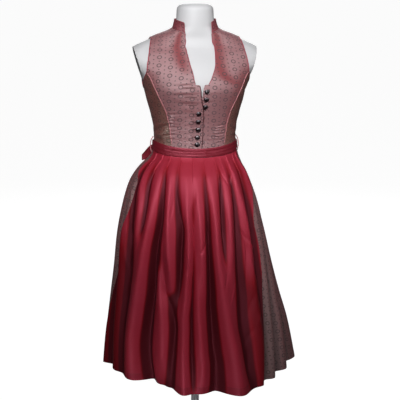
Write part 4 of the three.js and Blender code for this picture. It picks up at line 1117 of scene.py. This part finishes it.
def gathered_cut(points, least):
    """The flat cut of a flared panel: as wide as the cloth hangs, or a share of the hem."""
    across = np.linalg.norm(np.diff(points, axis=1), axis=-1)
    run = np.concatenate([np.zeros((len(points), 1)), np.cumsum(across, axis=1)], 1)
    share = run[0] / run[0, -1]
    width = np.maximum(run[:, -1], least * run[0, -1])
    up = np.linalg.norm(np.diff(points, axis=0), axis=-1).mean(1)
    height = np.concatenate([[0], np.cumsum(up)])
    return np.stack([(share[None, :] - 0.5) * width[:, None], np.repeat(height[:, None], len(share), 1)], -1)


skirt_v = np.concatenate([[0, 0.004, 0.012], np.linspace(0.022, 0.8, 62), np.linspace(0.81, 1, 28)])


def hang_panel(name, start, end, columns, solid):
    turns = np.linspace(start, end, columns)
    turn, v = np.meshgrid(turns, skirt_v)
    z = row_height(turn, v, hem_height(turn))
    top = turns[None, :]
    turn = np.concatenate([turn, top, top])
    z = np.concatenate([z, waist_height(top) - 8, waist_height(top) - 0.15])
    tucked = np.zeros_like(z)
    tucked[:2] = np.array([0.5, 0.1])[:, None]
    points = lifted(gathered_skirt, turn, z, -0.2 - tucked)
    chart = gathered_cut(points, 0.58)
    piece = cloth_piece(name, points, chart, CLOTH)
    # painted shade in the hollows of the skirt's folds
    mark(piece, "hollow", painted_fold_shade(turn, z))
    finish(piece, skirt_jacquard, "jacquard", solid)
    declare(chart)
    return piece


# a darker copy of the bodice's jacquard: its extra darkness is painted shade for the skirt's lower, dimmer
# place
skirt_jacquard = jacquard("skirt_jacquard", srgb("743C3F"), srgb("301B1D"), 1.8, 0.5, srgb("FFF8F6"))
SEAM_TURN = 0.01  # degrees each panel stops short of the seam
hang_panel("panel_skirt_front", -SIDE_SEAM + SEAM_TURN, SIDE_SEAM - SEAM_TURN, 330, "skirt_front")
hang_panel("panel_skirt_left", SIDE_SEAM + SEAM_TURN, 180 - SEAM_TURN, 150, "skirt_back_left")
hang_panel("panel_skirt_right", 180 + SEAM_TURN, 360 - SIDE_SEAM - SEAM_TURN, 150, "skirt_back_right")

# ------------------------------------------------------------------ apron
# Wine-red taffeta in one wide piece, laid in pleats under its band. It lies on
# the skirt's folds, bridges their hollows a little, and has a narrow hem.

APRON_HEM = 263
apron_edges = np.array([
    (263, -84, 32), (365, -83, 36.5), (436, -82, 42), (522, -80, 47), (611, -76, 51), (677, -72, 52),
    (740, -69, 51.5), (800, -67, 55), (855, -68, 61), (905, -76, 63), (955, -80, 68),
], float)

# Pleats at the band: turn, which way the fold lies, depth, length down the cloth.
pleats = [
    (-65, -1, 3, 120), (-50, -1, 3.6, 150), (-36, -1, 3.8, 170), (-21, -1, 3.2, 130), (-7, 1, 2.6, 120),
    (4, 1, 3, 150), (17, 1, 3.8, 170), (25.5, 1, 2.2, 100), (36, 1, 3.8, 190), (50, 1, 2.6, 120),
    (59, 1, 2.6, 90),
]
# Small creases of the taffeta: turn, height, half length, half width, depth
# (negative for a ridge), lean in degrees from upright.
taffeta_creases = [
    (-23.5, 810, 30, 4, 2.4, 6), (-17, 770, 26, 4, -2, -12), (-6, 830, 26, 4, 2, 10),
    (-2, 690, 48, 4, 2.6, 24), (-6, 655, 38, 4, -2.2, 30), (2, 730, 34, 4, 2, 18),
    (-12, 640, 30, 4, 2.2, -20), (14, 600, 34, 4, 2, 16), (20, 560, 36, 4.5, -2.2, 24),
    (26, 872, 46, 4, 4, -26), (30, 822, 50, 4, 4.4, -22), (34.5, 765, 46, 4, 4, -14),
    (28, 848, 50, 3.6, -4, -24), (32.5, 795, 46, 3.6, -4, -18), (37, 712, 26, 4.5, 3.6, -40),
    (39, 690, 24, 4.5, -3.2, -48), (31, 884, 20, 4.5, 3, 34), (-60, 700, 40, 5, 3, -12),
    (-63, 640, 38, 5, -2.6, -16),
    (-56, 560, 44, 6, 3, -10), (-66, 790, 34, 5, -2.6, -8), (33, 520, 46, 5, 3, 20),
    (36, 470, 40, 5, -3, 26), (30, 430, 34, 5, 2.6, 34), (-33, 600, 36, 4.5, 2.6, -8),
    (40, 610, 42, 5, 3, -14), (42, 560, 40, 5, -2.6, -12), (-46, 380, 60, 7, -2.6, 6),
    (10, 380, 54, 8, 2.6, -6), (-5, 340, 44, 6, 2.2, 8), (24, 330, 46, 7, 2.6, 10),
]


def pleat_rise(turn, z):
    """Each pleat rises slowly on one side and drops sharply on the other."""
    total = np.zeros(np.broadcast(turn, z).shape)
    drop = band_low(turn) - z
    for middle, way, depth, length in pleats:
        away = (turn - middle) * way
        step = smooth(-0.35, 0.15, away) * np.exp(-np.maximum(away, 0) / 4.5)
        total += depth * step * (1 - smooth(0.15 * length, length, drop))
    return total


TAFFETA_DEGREE = 3.9  # millimetres round the skirt to a degree, for its creases


def taffeta_rise(turn, z):
    total = np.zeros(np.broadcast(turn, z).shape)
    for middle, height, length, width, depth, lean in taffeta_creases:
        x, y = (turn - middle) * TAFFETA_DEGREE, z - height
        c, s = math.cos(math.radians(lean)), math.sin(math.radians(lean))
        total -= depth * bell(y * c + x * s, length) * bell(x * c - y * s, width)
    return total


def apron_surface(turn, z):
    hollow = np.maximum(0, -fold_rise(turn, z)) * 0.1
    loose = mix(2.2, 6, smooth(WAIST_FRONT - 20, 900, z))
    fine = pleat_rise(turn, z) * smooth(band_low(turn), band_low(turn) - 12, z)
    crease = taffeta_rise(turn, z)
    return skirt(turn, z, loose + hollow + fine + np.maximum(crease, 1.5 - loose))


apron_v = np.concatenate([[0, 0.003, 0.01], np.linspace(0.018, 0.86, 104), np.linspace(0.866, 1, 36)])
u, v = np.meshgrid(np.linspace(0, 1, 330), apron_v)
guess = mix(HEM, WAIST_FRONT - BAND_HEIGHT / 2, v)
turn = mix(read(apron_edges, guess, 1), read(apron_edges, guess, 2), u)
z = row_height(turn, v, APRON_HEM + hem_height(turn) - HEM)
points = lifted(apron_surface, turn, z, CLOTH)
chart = gathered_cut(points, 0.6)
apron = cloth_piece("taffeta_apron", points, chart, CLOTH * 0.8)
# painted shade in the hollows of the apron's folds and on its low corners
mark(apron, "hollow", painted_fold_shade(turn, z))

# The taffeta has a line of small stitches above the hem and a turned edge below
# it; painted shade makes the hollows of its folds a deeper red and their depths dark.
HEM_TURN = 0.022
wine_taffeta, cloth, height, slub = new_cloth("wine_taffeta", 0.0007)
hollow = kept_value(cloth.tree, "hollow")
across, up = two_ways(cloth)
turned = maths("LESS_THAN", up, HEM_TURN)
in_stitch = maths("LESS_THAN", maths("FRACT", across / 0.004), 0.62)
stitch = maths("LESS_THAN", abs(up - HEM_TURN), 0.0006) * in_stitch
base = mixed(noise(cloth, 5, 3), srgb("982C3E"), srgb("8E141F"))
# the last two mixes are painted shade: a deeper red in the folds' hollows, near black in their depths
for share, colour in ((slub * 0.3, "AC3448"), (turned * 0.25, "56101A"), (stitch * 0.7, "3E0A12"),
                      (hollow * 2.8, "800810"), (hollow * 1.4 - 0.45, "360104")):
    base = mixed(share, base, srgb(colour))
shade(wine_taffeta, {"Base Color": base, "Roughness": slub * 0.08 + hollow * 0.12 + 0.5,
                     "Normal": bump(slub * 1.2 + stitch * -4, 0.00008)})
gloss(wine_taffeta, 1.5, srgb("FF8AA4"), 0.015, 0.4, srgb("D06070"))
finish(apron, wine_taffeta, "apron", "apron")
declare(chart)

# ------------------------------------------------------------------ band and ties
# The apron's band is a double strip of the taffeta that covers the waist seam.
# Its ends run on as ties to the bow behind.

BAND_CLEAR = 1.4
BAND_THICK = 2.2
KNOT_TURN = 204


def waist(turn, z):
    at = [read(skirt_sections, z, k) for k in (2, 3, 4)]
    return oval(turn, z, at[0], at[1], at[2], 0, 2.2)


# Soft creases along the band: turn, share of the height, half length, half width, depth.
band_creases = [
    (-60, 0.3, 50, 2.5, 0.9), (-30, 0.62, 60, 2.6, 0.9), (-8, 0.35, 40, 2.2, 0.8), (22, 0.66, 46, 2.4, 0.9),
    (45, 0.36, 40, 2.2, 0.8), (60, 0.7, 34, 2, 0.7), (-112, 0.55, 60, 2.4, 0.9), (-140, 0.35, 44, 2.2, 0.8),
    (95, 0.45, 54, 2.4, 0.9), (132, 0.62, 60, 2.4, 0.9), (168, 0.4, 56, 2.4, 0.9),
    (194, 0.55, 30, 2.2, 0.9),
]


def band_rows(start, end, half, columns, rows=17):
    turn, v = np.meshgrid(np.linspace(start, end, columns), np.linspace(0, 1, rows))
    z = waist_height(turn) + mix(-half(turn), half(turn), v)
    lap = 2.4 * smooth(-13, -6, turn) * smooth(13, 6, turn)
    out = BAND_CLEAR + BAND_THICK - 0.9 * np.abs(2 * v - 1) ** 5
    for middle, share, length, width, depth in band_creases:
        x, y = (turn - middle) * 2.3, (v - share) * 28
        out = out - depth * bell(x, length) * bell(y, width)
    chart = np.stack([np.radians(turn) * 128, z - WAIST_FRONT], -1)
    return lifted(waist, turn, z, out + lap), chart


band_taffeta = satin("band_taffeta", srgb("741623"), srgb("64121C"), 1.65, 0.42, srgb("FF90A6"), 0.05)
for name, start, end, half, columns, solid in (
    ("waist_band", -80, 69, band_half, 180, "apron_band"),
    ("tie_strip_right", KNOT_TURN - 359.8, -80.2, lambda t: 12 + 0 * t, 90, "tie_right"),
    ("tie_strip_left", 69.2, KNOT_TURN - 0.2, lambda t: 12 + 0 * t, 150, "tie_left"),
):
    points, chart = band_rows(start, end, half, columns)
    strip = cloth_piece(name, points, chart, 1.3)
    finish(strip, band_taffeta, "band", solid)
    declare(chart)

# ------------------------------------------------------------------ loops at the waist
# A thin cord loop at each side, sewn into the side seam above and below, over
# the ties.

LOOP_RADIUS = 1.4
LOOP_REACH = 25
for name, turn in (("right", -91.0), ("left", 91.0)):
    middle = float(waist_height(turn))
    rest = BAND_CLEAR + BAND_THICK + GAP + LOOP_RADIUS
    path = []
    for surface, up, out in ((body, 1, BODICE_CLEAR + CLOTH + GAP + LOOP_RADIUS), (waist, 0.68, rest),
                             (waist, 0.3, rest + 3), (waist, -0.3, rest + 3.4), (waist, -0.7, rest + 1),
                             (skirt, -1, LOOP_RADIUS + 2.6)):
        path.append(lifted(surface, np.array([turn]), np.array([middle + LOOP_REACH * up]), out)[0])
    sideways = np.array([[0.0, 1.0, 0.0]] * 40)
    loop = round_cord(f"cord_loop_{name}", along(path, 40), 2 * LOOP_RADIUS, lift=sideways)
    finish(loop, pink_piping, "jacquard", f"belt_loop_{name}")

# ------------------------------------------------------------------ bow
# The ties are tied behind, towards the wearer's right: a knot wrapped by one
# tie, two loops, and two tails that hang over the folds of the skirt.

seat = BAND_CLEAR + BAND_THICK + GAP
KNOT_WIDTH, KNOT_DEPTH, KNOT_HEIGHT = 30, 16, 34
one = np.array([float(KNOT_TURN)])
knot_z = float(waist_height(KNOT_TURN))
away = outward(waist, one, np.array([knot_z]))[0] * (1, 1, 0)
away /= np.linalg.norm(away)
aside = -np.cross((0, 0, 1), away)
centre = lifted(waist, one, np.array([knot_z]), seat + KNOT_DEPTH / 2 + 0.4)[0]

around, up = np.meshgrid(np.linspace(0, 2 * np.pi, 65), np.linspace(-0.49, 0.49, 25) * np.pi)
wrap = 1 + 0.05 * np.sin(5 * up + 1.2 * np.sin(around)) + 0.03 * np.sin(9 * up + 2 * around)
side = np.sign(np.sin(around)) * np.abs(np.sin(around)) ** 0.8
back = np.sign(np.cos(around)) * np.abs(np.cos(around)) ** 0.9
points = (centre + aside * (side * np.cos(up) ** 0.6 * wrap * KNOT_WIDTH * 0.48)[..., None]
          + away * (back * np.cos(up) ** 0.6 * wrap * KNOT_DEPTH * 0.48)[..., None]
          + np.array([0, 0, 1]) * (np.sin(up) * KNOT_HEIGHT * 0.5)[..., None])
chart = np.stack([around / (2 * np.pi) * 40, (np.sin(up) + 1) * 16], -1)
knot = cloth_piece("knot_wrap", points[:, ::-1], chart[:, ::-1], 0)
edited(knot, (bpy.ops.mesh.remove_doubles, {"threshold": 0.00005}),
       (bpy.ops.mesh.fill_holes, {"sides": 0}), OUTWARD)
bow_taffeta = satin("bow_taffeta", srgb("6C0E19"), srgb("5A0A13"), 1.75, 0.42, srgb("FF88A2"), 0.05)
finish(knot, bow_taffeta, "band", "bow_knot")

for name, side, reach, droop, stand_off in (("right", -1, 98, 0.46, 17), ("left", 1, 92, 0.3, 13)):
    u, v = np.meshgrid(np.linspace(0, 1, 90), np.linspace(0, 1, 21))
    angle = mix(-0.96, 0.96, u) * np.pi
    run = KNOT_WIDTH / 2 + (reach - KNOT_WIDTH / 2) * (0.5 + 0.5 * np.cos(angle))
    opened = 7 * np.sin(angle) * (0.35 + 0.65 * smooth(0, 60, run - 14))
    wide = mix(9, 20, smooth(8, 0.6 * reach, run)) - 11 * smooth(0.66 * reach, reach, run)
    crease = 1.1 * np.sin(v * 13 + 0.5 * np.sin(run / 17)) * (1 - smooth(20, 80, run))
    height = mix(-wide, wide, v) - droop * run
    lift = mix(1.5, stand_off, smooth(15, 60, run)) - 0.0006 * run * run
    face = np.sign(np.sin(angle)) * np.minimum(1, np.abs(np.sin(angle)) * 2)
    depth = opened + lift + (0.6 + crease * 0.6) * face
    points = (centre + aside * (side * (run + 0.6 * np.maximum(0, np.cos(angle))))[..., None]
              + away * depth[..., None] + np.array([0, 0, 1]) * height[..., None])
    chart = np.stack([u * 2 * reach, mix(-wide, wide, v)], -1)
    if side > 0:
        points, chart = points[:, ::-1], chart[:, ::-1]
    loop = cloth_piece(f"tied_loop_{name}", points, chart, 1.2)
    finish(loop, bow_taffeta, "apron", f"bow_loop_{name}")
    declare(chart)


def hip_crests(turn, z):
    """The crests of the folds, where the tails rest."""
    at = [read(skirt_sections, z, k) for k in range(1, 6)]
    crest = mix(0, 22, smooth(950, 600, z))
    return oval(turn, z, at[0] + crest, at[2] + crest, at[3] + crest, 0, at[4])


for name, side, length, end_turn in (("right", -1, 380, 213), ("left", 1, 330, 195)):
    u, v = np.meshgrid(np.linspace(0, 1, 22), np.linspace(0, 1, 80))
    lower = 1 - v
    half_turn = mix(3.1, 5.6, smooth(0, 0.5, lower))
    turn = mix(KNOT_TURN - 3.4 * side, end_turn, lower) + mix(-half_turn, half_turn, u)
    z = knot_z - KNOT_HEIGHT / 2 - 3.6 - length * lower + 18 * (u - 0.5) * side * smooth(0.7, 1, lower)
    ripple = 1.6 * np.sin(5 * u + 4 * lower) * (1 - 0.5 * lower) + 1.4 * np.sin(7 * lower + 2 * u)
    points = lifted(hip_crests, turn, z, 7.8 + ripple)
    chart = np.stack([mix(-half_turn, half_turn, u) * 4, z], -1)
    tail = cloth_piece(f"hanging_tail_{name}", points, chart, 1.2)
    finish(tail, bow_taffeta, "apron", f"bow_tail_{name}")
    declare(chart)
